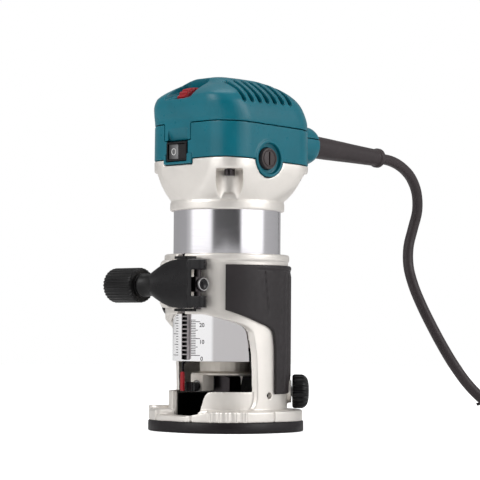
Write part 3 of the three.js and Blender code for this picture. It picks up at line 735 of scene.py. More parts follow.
MATERIALS = {
    "teal_plastic": moulded_plastic("teal_plastic", srgb(4, 104, 120), 0.32, gloss=0.34),
    "cast_aluminium": cast_metal("cast_aluminium", srgb(214, 208, 200), 0.42, 0.03),
    # base_metal carries the painted shade in the bore below the motor.
    "base_metal": cast_metal("base_metal", srgb(236, 231, 225), 0.42, 0.02, bore_black),
    "housing_metal": cast_metal("housing_metal", srgb(238, 233, 227), 0.42, 0.01),
    "brushed_tube": tube_metal("brushed_tube"),
    "steel": plain_metal("steel", srgb(190, 188, 188), 0.28),
    "black_plastic": moulded_plastic("black_plastic", srgb(12, 10, 13), 0.3, edge=1.9),
    "knob_plastic": moulded_plastic("knob_plastic", srgb(6, 5, 6), 0.36, edge=2.2),
    "sole_plastic": moulded_plastic("sole_plastic", srgb(22, 17, 20), 0.42, edge=1.5),
    "gloss_black": moulded_plastic("gloss_black", srgb(14, 12, 15), 0.22, edge=1.6),
    "rubber": soft_rubber("rubber", srgb(38, 33, 35), 0.5, 0.05),
    "cord_sheath": soft_rubber("cord_sheath", srgb(52, 44, 46), 0.5, 0.03),
    "red_plastic": moulded_plastic("red_plastic", srgb(150, 24, 34), 0.35),
    "copper": plain_metal("copper", srgb(196, 120, 76), 0.3),
    "brass": plain_metal("brass", srgb(214, 178, 96), 0.28),
    "carbon": moulded_plastic("carbon", srgb(44, 44, 46), 0.7),
    "circuit_board": moulded_plastic("circuit_board", srgb(30, 92, 52), 0.5),
    "black_steel": plain_metal("black_steel", srgb(70, 66, 68), 0.3),
    "rocker_black": rocker_plastic("rocker_black"),
    "cap_grey": moulded_plastic("cap_grey", srgb(72, 64, 64), 0.4),
    "print_dark": moulded_plastic("print_dark", srgb(38, 34, 38), 0.6),
    "print_white": moulded_plastic("print_white", srgb(236, 236, 234), 0.5),
    "rack_metal": rack_metal("rack_metal"),
}


# ---------------------------------------------------------------- head

SHELL = 2.8
LOW_SEAM = 163.0
TOP_SEAM = 184.4
SEAM_FALL = 0.038
SEAM_GAP = 0.5
HEAD_FRONT = -35.0
NECK_R = TUBE_R + 1.7
# z, front y, rear y, half width, corner radius
HEAD_SECTIONS = [
    (138.6, -NECK_R, NECK_R, NECK_R, NECK_R), (142, -34.4, 36.1, 35.5, 29.7),
    (146, -34.6, 37.9, 36.7, 25.3), (152, -34.9, 39.8, 38, 20.9), (158, -35, 41, 38.8, 18),
    (185.4, -35, 40.4, 38.6, 18), (191, -36.2, 39, 38, 18), (196, -37, 36.6, 36.6, 17),
    (200, -36.6, 34, 34.2, 16), (203, -33.8, 31.4, 31.2, 15), (206, -29.4, 28, 27.2, 14),
    (209, -24, 22, 22.4, 12), (211.4, -21, 12, 17.5, 9), (212.6, -19, 2, 12, 6),
]
BRUSH_Y, BRUSH_Z = -2.0, 162.9
SWITCH_HALF = (9.5, 6.2)
DIAL = (-5.0, -24.5, 196.0)
DIAL_R = 10.6
POCKET_LIP = (-36.8, 198.8)
POCKET_TILT = 20
POCKET_R = 8.0
HEAD_SCREWS = [(sx * 28.2, 3 + sy * 27.6) for sx in (1, -1) for sy in (1, -1)]
VENTS = [-20 + 6.3 * i for i in range(7)]
VENT_HALF = 1.9
BOTH = (1, -1)


def head_form(shrink, levels=64):
    """The head's outer form, or the same form shrunk by a wall's thickness."""
    zs, *columns = np.array(HEAD_SECTIONS, float).T
    rings = []
    for z in np.linspace(zs[0], zs[-1], levels):
        front, rear, half, corner = (eased(zs, column, z) for column in columns)
        drop = shrink * np.clip((z - TOP_SEAM) / 8, 0, 1)
        outline = round_rect(
            -half + shrink, half - shrink, front + shrink, rear - shrink,
            max(1.0, corner - shrink), 14)
        rings.append([(x, y, z - drop) for x, y in outline])
    return loft(rings)


def seam_z(front_height, y):
    return front_height - SEAM_FALL * (y - HEAD_FRONT)


def under_seam(front_height):
    """All the space under a seam, whose top falls towards the rear."""
    return prism_x([
        (-80, 100), (120, 100), (120, seam_z(front_height, 120)), (-80, seam_z(front_height, -80)),
    ], -70, 70)


def above_seam(front_height):
    return prism_x([
        (-80, seam_z(front_height, -80)), (120, seam_z(front_height, 120)), (120, 260), (-80, 260),
    ], -70, 70)


def boss(r, end):
    """The capsule at the rear that the cord guard comes out of."""
    return to_y(turned([
        (0, 30), (r, 30), (r, end - 7), (r * 0.97, end - 4.6), (r * 0.88, end - 2.4),
        (r * 0.74, end - 0.8), (r * 0.6, end), (0, end),
    ]), 0, BOSS_Z)


def brush_disc(r, side, near, far):
    low, high = (near, far) if side > 0 else (-far, -near)
    return to_x(disc(r, low, high, 96), BRUSH_Y, BRUSH_Z)


def switch_tongue(grow):
    return block(
        (SWITCH_X - 11.2 - grow, SWITCH_X + 13.2 + grow), (-36, -30 + grow), (159.9 - grow, 166))


def cover_tongue(grow):
    """The part of the top cover that reaches down to the switch."""
    outline = round_rect(SWITCH_X - 11.2 - grow, SWITCH_X + 11.6 + grow, 172, 196, 2.5, 5)
    return prism_y([(x, max(z, 174.4 - grow)) for x, z in outline], -60, -25)


def screw_posts(r, low, high):
    """One post at each head screw, as four separate solids."""
    return [moved(disc(r, low, high, 48), x, y) for x, y in HEAD_SCREWS]


def screw_pockets(r, low, high):
    return [
        moved(disc(r, low, high, 64), x * 1.065, 3 + (y - 3) * 1.065) for x, y in HEAD_SCREWS]


def thumb_scoop():
    """The shallow slope over the switch."""
    outline = softened([(-31.4, 172.6), (-35.4, 182.8), (-42, 182.8), (-42, 171)], 1)
    return prism_x(outline, SWITCH_X - 8.4, SWITCH_X + 9)


def add_motor_housing():
    neck = turned(softened([
        (TUBE_R + GAP, 132.5), (NECK_R + 0.5, 132.5), (NECK_R + 0.5, 137.4), (NECK_R - 0.5, 138.2),
        (NECK_R - 0.5, 139.6), (TUBE_R + GAP, 142),
    ], 0.5), 160)
    cavity = combine(
        "cavity", head_form(SHELL), (CUT, *screw_pockets(POCKET_R + 2, 120, 166)))
    housing = combine(
        "motor_shell", head_form(0),
        (ADD, boss(12, BOSS_END)),
        (KEEP, under_seam(LOW_SEAM - SEAM_GAP / 2)),
        (CUT, cavity),
        (CUT, boss(12 - SHELL, 68)),
        (CUT, *screw_pockets(POCKET_R, 130, 155.9)),
        (ADD, neck),
        (CUT, disc(TUBE_R + GAP, 120, TUBE_Z[1] + 3, 160)),
        (CUT, *screw_posts(1.9, 150, 178)),
        (CUT, switch_tongue(SEAM_GAP)),
        (CUT, *(brush_disc(11 + SEAM_GAP, side, 31, 44) for side in BOTH)))
    moulded(housing, smoothing=3)
    finished(
        housing, "motor_unit", "cast_aluminium", "motor_housing", material="housing_metal",
        sharp=math.pi)


def add_mid_housing():
    shell = combine(
        "mid_shell", head_form(0),
        (ADD, boss(12, BOSS_END)),
        (KEEP, under_seam(TOP_SEAM - SEAM_GAP / 2)),
        (CUT, head_form(SHELL)),
        (CUT, boss(12 - SHELL, 68)),
        (CUT, under_seam(LOW_SEAM + SEAM_GAP / 2)),
        (ADD, switch_tongue(0)),
        (ADD, *(brush_disc(11, side, 33, 39.3) for side in BOTH)),
        (ADD, *(brush_disc(8.4, side, 28, 35) for side in BOTH)),
        (CUT, cover_tongue(SEAM_GAP)),
        (CUT, block(
            (SWITCH_X - SWITCH_HALF[0], SWITCH_X + SWITCH_HALF[0]), (-40, -28),
            (SWITCH_Z - SWITCH_HALF[1], SWITCH_Z + SWITCH_HALF[1]))),
        (CUT, thumb_scoop()),
        (CUT, *(brush_disc(9.4, side, 36.6, 45) for side in BOTH)),
        (CUT, *(brush_disc(6.7, side, 20, 45) for side in BOTH)),
        (CUT, to_y(disc(7.7, 60, 80), 0, BOSS_Z)))
    moulded(shell, 0.45)
    finished(shell, "motor_unit", "teal_plastic", "mid_housing")


def dial_pocket():
    """The recess round the speed dial, which rises towards the rear from the front wall."""
    outline = softened(round_rect(-12, 12, -8, 21, 5, 6), 0.5, 2)
    levels = ((0, 0.94), (1.5, 1), (20, 1.1))
    pocket = loft([[(x * grow, y, z) for x, y in outline] for z, grow in levels])
    return moved(tilted(pocket, POCKET_TILT), DIAL[0], *POCKET_LIP)


def dial_slot():
    return to_x(disc(DIAL_R + 0.9, DIAL[0] - 4.9, DIAL[0] + 4.9), DIAL[1], DIAL[2])


def vent(y, side):
    near, far = (18, 45) if side > 0 else (-45, -18)
    outline = round_rect(y - VENT_HALF, y + VENT_HALF, 195.6, 218, VENT_HALF - 0.01, 6)
    return prism_x(outline, near, far)


def add_top_cover():
    tray = combine(
        "tray", block((DIAL[0] - 14, DIAL[0] + 14), (-44, -8), (190, 214)),
        (KEEP, head_form(0.6)))
    tongue = combine(
        "tongue", cover_tongue(0), (KEEP, head_form(0)), (CUT, head_form(SHELL)),
        (ADD, block((SWITCH_X - 9.4, SWITCH_X + 10), (-34.4, -28.6), (174.4, 184.2))))
    cover = combine(
        "top_shell", head_form(0),
        (ADD, boss(12, BOSS_END)),
        (CUT, head_form(SHELL)),
        (CUT, boss(12 - SHELL, 68)),
        (ADD, tray),
        (KEEP, above_seam(TOP_SEAM + SEAM_GAP / 2)),
        (ADD, tongue),
        (CUT, *(vent(y, side) for y in VENTS for side in BOTH)),
        (CUT, dial_pocket()),
        (CUT, dial_slot()),
        (CUT, thumb_scoop()),
        (CUT, to_y(disc(7.7, 60, 80), 0, BOSS_Z)))
    moulded(cover, 0.45)
    finished(cover, "motor_unit", "teal_plastic", "top_cover")


# ---------------------------------------------------------------- base

SOLE_HALF, SOLE_CORNER_R, SOLE_TOP = 45.0, 40.0, 6.3
FLANGE_Z = (6.5, 13.0)
COLLAR_BORE_R = 32.56
RIM_Z = (101.8, 106.2)
SLIT = 3.2                           # half width of the slit in the collar's front
SHAFT_Y, SHAFT_Z, SHAFT_R = -39.8, 87.5, 3.0
RUNNING = 0.05
GUIDE_ANGLE = 47                     # guide screw, degrees from +X towards +Y
GUIDE_Z = 23.9
SOLE_SCREWS = [on_wall(angle, 35.4) for angle in (60, 130, 230, 300)]
SCREW_CROSS = [((-1.7, 1.7), (-0.35, 0.35)), ((-0.35, 0.35), (-1.7, 1.7))]
# Chip window: angle from the front, low z, high z
WINDOW = [
    (0, 9.9, 70), (19.4, 9.9, 70), (20.4, 13, 70), (36, 13, 68.3), (49, 13, 66.2), (60, 13, 63.8),
    (65, 13, 62), (68, 13.5, 59.5), (70, 14.5, 54), (71.8, 16.8, 45.6), (72.8, 19.6, 33),
    (73.2, 22, 26),
]
WINDOW_SPLAY = 0.0184                # how much the window widens for each mm outwards
LOW_WALL_R = (31.2, 34.7)
# Rubber grip: its lower edge as angle from the front and height
GRIP_EDGE = [
    (46, 72.6), (61, 69.3), (75.6, 65.6), (88, 62.5), (93.6, 59.7), (96.7, 48.8), (97.2, 22.7),
]
GRIP_BEAD = [
    (43.9, 102.4), (43.9, 97), (43.9, 90), (43.9, 82), (43.9, 76.5), (44, 73.2), (45.6, 71.2),
    (48.5, 70.4), (54, 69.2), (61, 67.6), (68, 65.9), (75.6, 63.9), (82, 62.1), (87, 60.4),
    (90.6, 58), (92.6, 54.4), (93.9, 49), (94.5, 42), (94.7, 34), (94.8, 24),
]
GRIP_R, GRIP_BACK_R, GRIP_TOP = 39.2, 37.5, 99.5
GRIP_RIDGES = 112.5 + 8.4375 * np.arange(9)


def along_guide(solid):
    """Turns a solid made along Z so that it points out along the guide screw's axis."""
    return moved(swung(to_x(solid), GUIDE_ANGLE), z=GUIDE_Z)


def sole_form(levels):
    """A plate with the sole's outline through [inset, z] levels."""
    rings = []
    for inset, z in levels:
        half = SOLE_HALF - inset
        outline = round_rect(-half, half, -half, half, SOLE_CORNER_R - inset, 40)
        rings.append([(x, y, z) for x, y in outline])
    return loft(rings)


def sole_screw_holes():
    hole = turned([(0, -1), (3.5, -1), (3.5, 1.3), (1.7, 3.2), (1.7, 12.6), (0, 12.6)], 32)
    return [moved(hole, x, y) for x, y in SOLE_SCREWS]


def add_sole_screws():
    """Countersunk cross-head screws, seen from below."""
    profile = [(0, 0.6), (2.6, 0.6), (3.1, 0.8), (3.1, 1.05), (1.45, 3), (1.45, 12.4), (0, 12.4)]
    for i, (x, y) in enumerate(SOLE_SCREWS, 1):
        screw = combine(
            f"sole_screw_{i}", moved(turned(profile, 48), x, y),
            *((CUT, moved(block(*bar, (0, 1.9)), x, y)) for bar in SCREW_CROSS))
        finished(screw, "base", "steel", f"sub_base_screw_{i}")


def add_sub_base():
    sole = combine(
        "sole_plate", sole_form([(0.8, 0), (0.2, 0.25), (0, 0.8), (0, 5.8), (0.4, SOLE_TOP)]),
        (CUT, disc(15, -1, 8, 128)),
        (CUT, *sole_screw_holes()))
    finished(sole, "base", "black_plastic", "sub_base", material="sole_plastic")


def window_form():
    """The space of the chip window, which widens outwards."""
    angles, lows, highs = np.array(WINDOW, float).T
    half = [*np.arange(0, 66, 2), *np.arange(66, 73, 0.35), 73.2]
    rings = []
    for angle in [*(-a for a in half[:0:-1]), *half]:
        low, high = eased(angles, lows, abs(angle)), eased(angles, highs, abs(angle))
        inner, outer = (on_wall(angle * (1 + WINDOW_SPLAY * (r - WALL_R)), r) for r in (25, 45))
        rings.append([(*inner, low), (*outer, low), (*outer, high), (*inner, high)])
    return loft(rings)


def low_walls():
    """The low walls that close the window's foot on both sides of the front gap."""
    right = [(19.6, 8, 10.6), (22, 8, 15.4), (25.2, 8, 21), (28, 8, 23.2), (31, 8, 24), (75, 8, 24)]
    left = [(-75, 8, 24), (-21, 8, 24)]
    return [arc_block(stations, *LOW_WALL_R) for stations in (right, left)]


def flange():
    flutes = [
        swung(moved(disc(1.5, FLANGE_Z[0], 12.6, 32), 45.6), GUIDE_ANGLE - 88.4 + i * 6.5)
        for i in range(-2, 3)]
    grooves = [
        swung(block((-0.5, 0.5), (-48, -43.4), (5, 15)), angle) for angle in (-88, -20, 20, 88)]
    return combine(
        "flange", sole_form([(0.7, FLANGE_Z[0]), (0.7, 12), (1.1, 12.7), (2, FLANGE_Z[1])]),
        (ADD, moved(disc(6.4, FLANGE_Z[0], 14.6, 64), -35.9, -22.2)),
        (CUT, disc(35, 5, 15, 128)),
        (CUT, arc_block([(-20, 9.8, 15), (10, 9.8, 15), (38, 13.1, 15)], WALL_BORE_R, 52)),
        (ADD, *flutes),
        (CUT, *grooves))


def wall():
    profile = [
        (WALL_BORE_R, FLANGE_Z[0]), (WALL_R, FLANGE_Z[0]), (WALL_R, 14.2), (WALL_R, RIM_Z[0]),
        (WALL_R + 0.7, RIM_Z[0] + 0.6), (WALL_R + 0.7, RIM_Z[1] - 0.8), (WALL_R - 0.2, RIM_Z[1]),
        (COLLAR_BORE_R, RIM_Z[1]), (COLLAR_BORE_R, 68), (WALL_BORE_R, 66.5),
    ]
    return combine("wall", turned(profile, 192), (CUT, window_form()))


def clamp_lugs():
    housing = prism_y(round_rect(-16.8, SLIT + 3, 79, 96.4, 5, 8), -46, -33.6)
    tall = prism_x(round_rect(-46.2, -31, 73.6, 102.2, 3.5, 8), -9, 11.7)
    return combine(
        "lugs", housing, (ADD, tall), (CUT, disc(COLLAR_BORE_R + 0.8, 66, 110, 128)))


def grip_edge(angle):
    """The height of the grip's lower edge; angles count on both ways from the front."""
    angles, heights = zip(*GRIP_EDGE)
    return heights[-1] if angle >= angles[-1] else eased(angles, heights, angle)


def on_casting(angle, z):
    """A point just under the casting's outer surface."""
    return (*on_wall(angle, WALL_R - 0.1), z)


def grip_bead(side):
    """The casting's round bead down the front of the grip, along its lower edge and down again."""
    line = curve_through([on_casting(side * angle, z) for angle, z in GRIP_BEAD], 1.5)
    return swept(line, 1.35, 12)


def add_base_casting():
    casting = carve(
        flange(),
        (ADD, wall()),
        (ADD, *low_walls()),
        (ADD, clamp_lugs()),
        (ADD, *(grip_bead(side) for side in BOTH)),
        (ADD, along_guide(disc(7, 34.5, 39.6))),
        (CUT, block((-SLIT, SLIT), (-50, -28), (66, 110))),
        (CUT, to_x(disc(SHAFT_R + RUNNING, -30, 30), SHAFT_Y, SHAFT_Z)),
        (CUT, along_guide(disc(3.1, 30, 50))),
        (CUT, to_x(disc(1.9, 30, 45), 0.8, 21.9)),
        (CUT, *sole_screw_holes()))
    casting.name = "cast_base"
    moulded(casting)
    finished(casting, "base", "cast_aluminium", "base_casting", material="base_metal")


def hump(x, centre, width):
    return math.exp(-((x - centre) / width) ** 2)


def grip_r(angle, z):
    """The grip's outer radius: a lip along its top, a crease each side and ridges at the rear."""
    r = GRIP_R
    lip = np.clip((angle - 74) / 9, 0, 1)
    r -= 0.5 * lip * hump(z, 96.6, 0.5)
    if 69.7 < z < 96:
        crease = 82.9 + 4.5 * (95.4 - z) / 25.7
        r -= 0.5 * hump(angle, crease, 0.7) * min(1, (z - 69.7) / 2)
    if z < 96:
        r -= 0.45 * np.clip((angle - 100) / 8, 0, 1)
        ends = np.clip((z - 25) / 3, 0, 1) * np.clip((95.5 - z) / 1.5, 0, 1)
        r += 0.5 * ends * sum(hump(angle, ridge, 0.9) for ridge in GRIP_RIDGES)
    return r


def grip_heights(low):
    """Levels from the grip's lower edge to its top, close together where its form turns."""
    edge = [low, low + 0.15, low + 0.5, low + 1]
    body = list(np.linspace(low + 2, 95, 34))
    top = [95.5, 95.9, 96.2, 96.5, 96.8, 97.1, 97.5, 98, 98.5, 98.9, 99.2, 99.4, GRIP_TOP]
    return edge + body + top


def grip_ring(angle):
    side = min(angle, 360 - angle)
    low = grip_edge(side)
    points = []
    for z in grip_heights(low):
        into = max(0, 1 - (z - low)) ** 2 * 0.8 + max(0, 1 - (GRIP_TOP - z)) ** 2 * 0.8
        points.append((*on_wall(angle, grip_r(side, z) - into), z))
    back = [(*on_wall(angle, GRIP_BACK_R), z) for z in (GRIP_TOP, (low + GRIP_TOP) / 2, low)]
    return points + back


def add_grip():
    half = [46, 46.3, *np.arange(47, 92, 0.9), *np.arange(92, 98, 0.3), *np.arange(98, 180, 0.55), 180]
    angles = [*half, *(360 - a for a in half[-2::-1])]
    pad = combine(
        "grip_pad", loft([grip_ring(angle) for angle in angles]),
        (CUT, along_guide(disc(9, 30, 50, 96))))
    finished(pad, "base", "rubber", "rubber_grip", sharp=math.radians(50))


# ---------------------------------------------------------------- lock lever and knobs

LEVER_PIN = (17.5, SHAFT_Y)
LEVER_PIN_R = 2.2
LEVER_FACE = (-51.2, -47.2)
LEVER_TOP = [
    (-14.6, 94.4), (-12, 95.4), (-6, 97.9), (-1, 99.9), (4, 101.3), (9, 102), (14, 102.2),
    (20.6, 102.2)]
LEVER_Z = SHAFT_Z + 0.3
KNOB_RIDGES, GUIDE_RIDGES = 30, 20


def lever_plate():
    """A plate bowed towards its free end and crowned across its height."""
    xs, tops = zip(*LEVER_TOP)
    rings = []
    for x in np.linspace(xs[0], xs[-1], 60):
        half = eased(xs, tops, x) - LEVER_Z
        bow = 1.5 * np.clip((-2 - x) / 12.6, 0, 1) ** 2
        front = []
        for t in np.linspace(-1, 1, 25):
            y = LEVER_FACE[0] + bow + 1.3 * abs(t) ** 5 + 0.5 * math.exp(-(t / 0.45) ** 2)
            front.append((x, y, LEVER_Z + half * t))
        rings.append([*front, (x, LEVER_FACE[1], LEVER_Z + half), (x, LEVER_FACE[1], LEVER_Z - half)])
    return loft(rings)


def add_lever():
    pin_x, pin_y = LEVER_PIN
    web = prism([(12.6, -50), (20.6, -50), (20.6, -47), (23, pin_y), (12.1, pin_y)], 73.8, 102.2)
    lever = combine(
        "lever", lever_plate(),
        (ADD, web),
        (ADD, moved(disc(5.4, 73.8, 102.2, 64), pin_x, pin_y)),
        (CUT, block((8, 30), (-47.2, -30), (80.5, 96.2))),
        (CUT, moved(disc(LEVER_PIN_R + 0.1, 60, 110), pin_x, pin_y)),
        (CUT, block((-20, -8), (-48.6, -46), (84.5, 91))))
    moulded(lever, 0.4)
    finished(lever, "lock_lever", "black_plastic", "lock_lever")


def ridges(count, depth, share=0.5):
    """Pulls a wall in between ridges; share is how much of each pitch a ridge takes."""
    def ripple(angles):
        phase = np.abs(np.mod(angles * count / (2 * math.pi), 1) - 0.5) * 2
        return depth * np.clip((phase - share) / 0.25 + 0.5, 0, 1)
    return ripple


def add_height_knob():
    profile = [
        (0, -58.5), (6.4, -58.5), (7, -58.2), (7.4, -57.9), (8.4, -58.2), (9.4, -57.9), (10.2, -57.1),
        (10.6, -56), (10.6, -34), (10.3, -33), (9.6, -32.4), (7.3, -32.2), (7.3, -31.4), (6.3, -31),
        (6.3, -29.8), (7.2, -29.4), (7.2, -28), (6.7, -27.4), (6.7, -17.4), (6.4, -17.1),
        (5.9, -17.1), (5.9, -22.7), (SHAFT_R + GAP, -22.7), (SHAFT_R + GAP, -48.4), (0, -48.4),
    ]
    knob = to_x(turned(profile, KNOB_RIDGES * 12, ridges(KNOB_RIDGES, 0.45), 9), SHAFT_Y, SHAFT_Z)
    finished(
        make("knob", knob), "height_adjuster", "black_plastic", "height_knob",
        material="knob_plastic")


def add_shaft_nut():
    """The ring nut on the shaft's right end, with a black cap in it."""
    profile = [
        (3.3, 21.1), (3.7, 21.1), (3.9, 21.3), (3.9, 22.9), (3.75, 23.1), (3.45, 23.1), (3.3, 22.95)]
    nut = make("ring_nut", to_x(turned(profile, 64), SHAFT_Y, SHAFT_Z))
    finished(nut, "height_adjuster", "steel", "shaft_nut")
    cap_profile = [
        (0, 22.82), (3.1, 22.82), (3.2, 22.9), (3.1, 23.05), (1.9, 23.1), (1.7, 22.95), (0, 22.95)]
    cap = make("nut_cap", to_x(turned(cap_profile, 64), SHAFT_Y, SHAFT_Z))
    finished(cap, "height_adjuster", "black_plastic", material="gloss_black")


def add_guide_knob():
    profile = [
        (0, 50.3), (4, 50.2), (6, 49.9), (7.6, 49.4), (9, 48.4), (9.9, 47.2), (10.3, 46), (10.3, 41.6),
        (10, 40.8), (9.4, 40.3), (3.3, 40.3), (3.3, 46.6), (0, 46.6),
    ]
    knob = along_guide(turned(profile, GUIDE_RIDGES * 16, ridges(GUIDE_RIDGES, 0.85, 0.55), 8.9))
    finished(
        make("guide_knob", knob), "guide_screw", "black_plastic", "guide_screw_knob",
        material="knob_plastic")


# ---------------------------------------------------------------- motor tube, rack and scale

RACK_Z = (42.7, 106.4)
RACK_ROOT, RACK_BACK = -32.52, -30.9
RACK_MODULE = 0.8
RACK_HALF = 2.65
SCALE_FOOT = 45.5
SCALE_INK = 0.045                    # how far the print stands off the tube
TICK_HALF = 0.19


def add_motor_tube():
    low, high = TUBE_Z
    profile = [
        (29.4, low), (TUBE_R - 0.5, low), (TUBE_R - 0.12, low + 0.15), (TUBE_R, low + 0.5),
        (TUBE_R, high), (29.4, high),
    ]
    tube = combine(
        "tube", turned(profile, 256), (CUT, block((-2.9, 2.9), (-40, -30.6), RACK_Z)))
    finished(tube, "motor_unit", "brushed_tube", "motor_tube", sharp=math.radians(25))


def add_rack():
    """A rack whose teeth stand between two thin rails."""
    pitch = RACK_MODULE * math.pi
    low, high = RACK_Z[0] + 0.3, RACK_Z[1] - 0.3
    teeth = []
    z = SHAFT_Z + (math.ceil((low + pitch - SHAFT_Z) / pitch - 0.5) + 0.5) * pitch
    while z + pitch / 2 < high:
        teeth += [
            (RACK_ROOT, z - 0.84), (RACK_TIP, z - 0.3), (RACK_TIP, z + 0.3), (RACK_ROOT, z + 0.84)]
        z += pitch
    comb = prism_x(
        [(RACK_BACK, low), (RACK_ROOT, low), *teeth, (RACK_ROOT, high), (RACK_BACK, high)],
        -RACK_HALF, RACK_HALF)
    rails = [
        block(span, (RACK_TIP, RACK_BACK + 0.1), (low, high))
        for span in ((-RACK_HALF, -RAIL_X), (RAIL_X, RACK_HALF))]
    rack = combine("rack", comb, (ADD, *rails))
    finished(rack, "motor_unit", "black_plastic", "depth_rack", material="rack_metal")


def tick(first, last, z):
    """One printed line across the tube, between two angles."""
    return arc_block(
        [(first, z - TICK_HALF, z + TICK_HALF), (last, z - TICK_HALF, z + TICK_HALF)],
        TUBE_R - 0.1, TUBE_R + SCALE_INK, 0.7)


def wrapped_text(text, height, angle, z):
    """Printed figures, bent round the tube with their middle at an angle and a height."""
    curve = bpy.data.curves.new("figures", "FONT")
    curve.body = text
    curve.size = height / 0.7
    curve.extrude = SCALE_INK / 2
    curve.offset = 0.02 * height
    curve.align_x = "CENTER"
    maker = bpy.data.objects.new("figures", curve)
    bpy.context.collection.objects.link(maker)
    bpy.context.view_layer.update()
    mesh = bpy.data.meshes.new_from_object(
        maker.evaluated_get(bpy.context.evaluated_depsgraph_get()))
    faces = [tuple(face.vertices) for face in mesh.polygons]
    points = []
    for x, y, thickness in (vertex.co for vertex in mesh.vertices):
        r = TUBE_R + thickness + SCALE_INK / 2 - 0.001
        points.append((*on_wall(angle + math.degrees(x / TUBE_R), r), z + y))
    bpy.data.objects.remove(maker)
    return np.array(points), faces


def add_scale():
    marks = []
    for k in range(22):
        reach = 18.3 if k % 10 == 0 else 15.5 if k % 5 == 0 else 12.9
        marks.append(tick(6.5, reach, SCALE_FOOT + k))
    for k in range(16):
        reach = -30 if k % 8 == 0 else -26 if k % 4 == 0 else -21
        marks.append(tick(reach, -15.5, SCALE_FOOT + 1.5875 * k))
    for k in (0, 10, 20):
        marks.append(wrapped_text(str(k), 2.4, 20.4, SCALE_FOOT + k - 3.1))
    finished(make("scale_marks", *marks), "motor_unit", "brushed_tube", material="print_dark")


def add_pointer():
    """The red pointer of the depth scale, hung from the tube by a black stem."""
    blade = prism_x(softened([
        (-32.7, 26), (-32.4, 24.2), (-31.5, 24.2), (-31.2, 26), (-31.2, 34), (-31.5, 35.6),
        (-32.4, 35.6), (-32.7, 34)], 0.3), -5.1, -2.8)
    finished(make("pointer", blade), "motor_unit", "red_plastic", "depth_pointer")
    stem = combine(
        "pointer_stem", block((-4.3, -3.5), (-32.2, -31.2), (35.2, 41.6)),
        (ADD, block((-4.3, -3.5), (-32.2, -29.6), (40.4, 41.6))))
    finished(stem, "motor_unit", "black_plastic", material="gloss_black")


# ---------------------------------------------------------------- small parts of the head

GUARD_PROFILE = [
    (3.8, -11.8), (8, -11.8), (8, -9.2), (6.6, -9), (6.6, 0.3), (7.3, 0.4), (7.3, 1.4), (7.1, 2),
    (6.9, 12), (6.5, 25), (6.1, 36), (5.5, 57.4), (5.5, 59.6), (6.3, 60.2), (6.3, 62.8), (5.8, 63.5),
    (3.8, 63.5),
]


def add_guard():
    guard = to_y(turned(softened(GUARD_PROFILE, 0.5), 96))
    droop = math.degrees(GUARD_DROOP)
    guard = moved(tilted(guard, -droop), 0, BOSS_END, BOSS_Z)
    finished(make("guard", guard), "motor_unit", "cord_sheath", "cord_guard")


def add_brush_cap(side, name):
    cap = turned([
        (0, 34.4), (6.4, 34.4), (6.4, 38.2), (6.1, 38.7), (5.5, 38.9), (5.1, 38.7), (4.9, 38.3),
        (4.6, 38.3), (4.4, 38.7), (4.1, 38.8), (0, 38.8),
    ], 96)
    slot = block((37.8, 40), (-0.6, 0.6), (-4, 4))
    if side < 0:
        cap, slot = mapped(cap, np.diag([1, 1, -1])), mapped(slot, np.diag([-1, 1, 1]))
    cap = combine(
        f"brush_cap_{name}_face", to_x(cap, BRUSH_Y, BRUSH_Z),
        (CUT, moved(slot, 0, BRUSH_Y, BRUSH_Z)))
    finished(cap, "motor_unit", "black_plastic", f"brush_cap_{name}", material="cap_grey")


def rocker_face(x):
    """The rocker's hollow face at x from its middle."""
    return -33.8 - 2.0 * max(0, -x / 6.3) ** 1.6


def on_rocker(x, z):
    """A point of the rocker's face, from its middle."""
    return SWITCH_X + x, rocker_face(x) - 0.02, SWITCH_Z + z


def add_rocker():
    front = [(x, rocker_face(x)) for x in np.linspace(-6.3, 6.3, 41)]
    plan = softened([*front, (6.3, -30.5), (3, -27.5), (-3, -27.5), (-6.3, -30.5)], 0.15, 2)
    body = prism([(x + SWITCH_X, y) for x, y in plan], SWITCH_Z - 4.4, SWITCH_Z + 4.4)
    finished(
        make("rocker", body), "switch_rocker", "black_plastic", "switch_rocker",
        material="rocker_black")

    round_mark = [
        on_rocker(1.25 * math.cos(a) - 3.4, 1.9 * math.sin(a))
        for a in np.linspace(0, 2 * math.pi, 48)]
    bar_mark = [on_rocker(3.2001, z) for z in np.linspace(-1.9, 1.9, 8)]
    marks = make("rocker_marks", *(swept(line, 0.22, 8) for line in (round_mark, bar_mark)))
    finished(marks, "switch_rocker", "black_plastic", material="print_white")


def add_switch_frame():
    half_x, half_z = SWITCH_HALF[0] - GAP, SWITCH_HALF[1] - GAP
    outer = round_rect(-half_x, half_x, -half_z, half_z, 1.2, 6)
    frame_form = loft([
        [(SWITCH_X + x * grow, y, SWITCH_Z + z * grow) for x, z in outer]
        for y, grow in ((-20, 1), (-35.2, 1), (-35.6, 0.96))])
    hole = prism_y(
        round_rect(SWITCH_X - 7.9, SWITCH_X + 7.9, SWITCH_Z - 4.7, SWITCH_Z + 4.7, 0.5, 3), -40, -24)
    bezel = combine("switch_bezel", frame_form, (CUT, hole))
    finished(bezel, "motor_unit", "black_plastic", "switch_frame")


def add_lock_button():
    """The spindle lock's ribbed button; its back stops short of the bearing box when pressed."""
    grooves = [block((x - 0.35, x + 0.35), (-30, -29), (23, 30)) for x in (-2.4, -0.8, 0.8, 2.4)]
    button = combine(
        "lock_button", prism_y(round_rect(-4.3, 4.3, 24, 29.6, 1.2, 8), -29.4, -26.2),
        (ADD, prism_y(round_rect(-2.2, 2.2, 24.8, 29.2, 2.19, 12), -26.6, -12)),
        (CUT, *grooves))
    finished(button, "shaft_lock_button", "black_plastic", "shaft_lock_button")


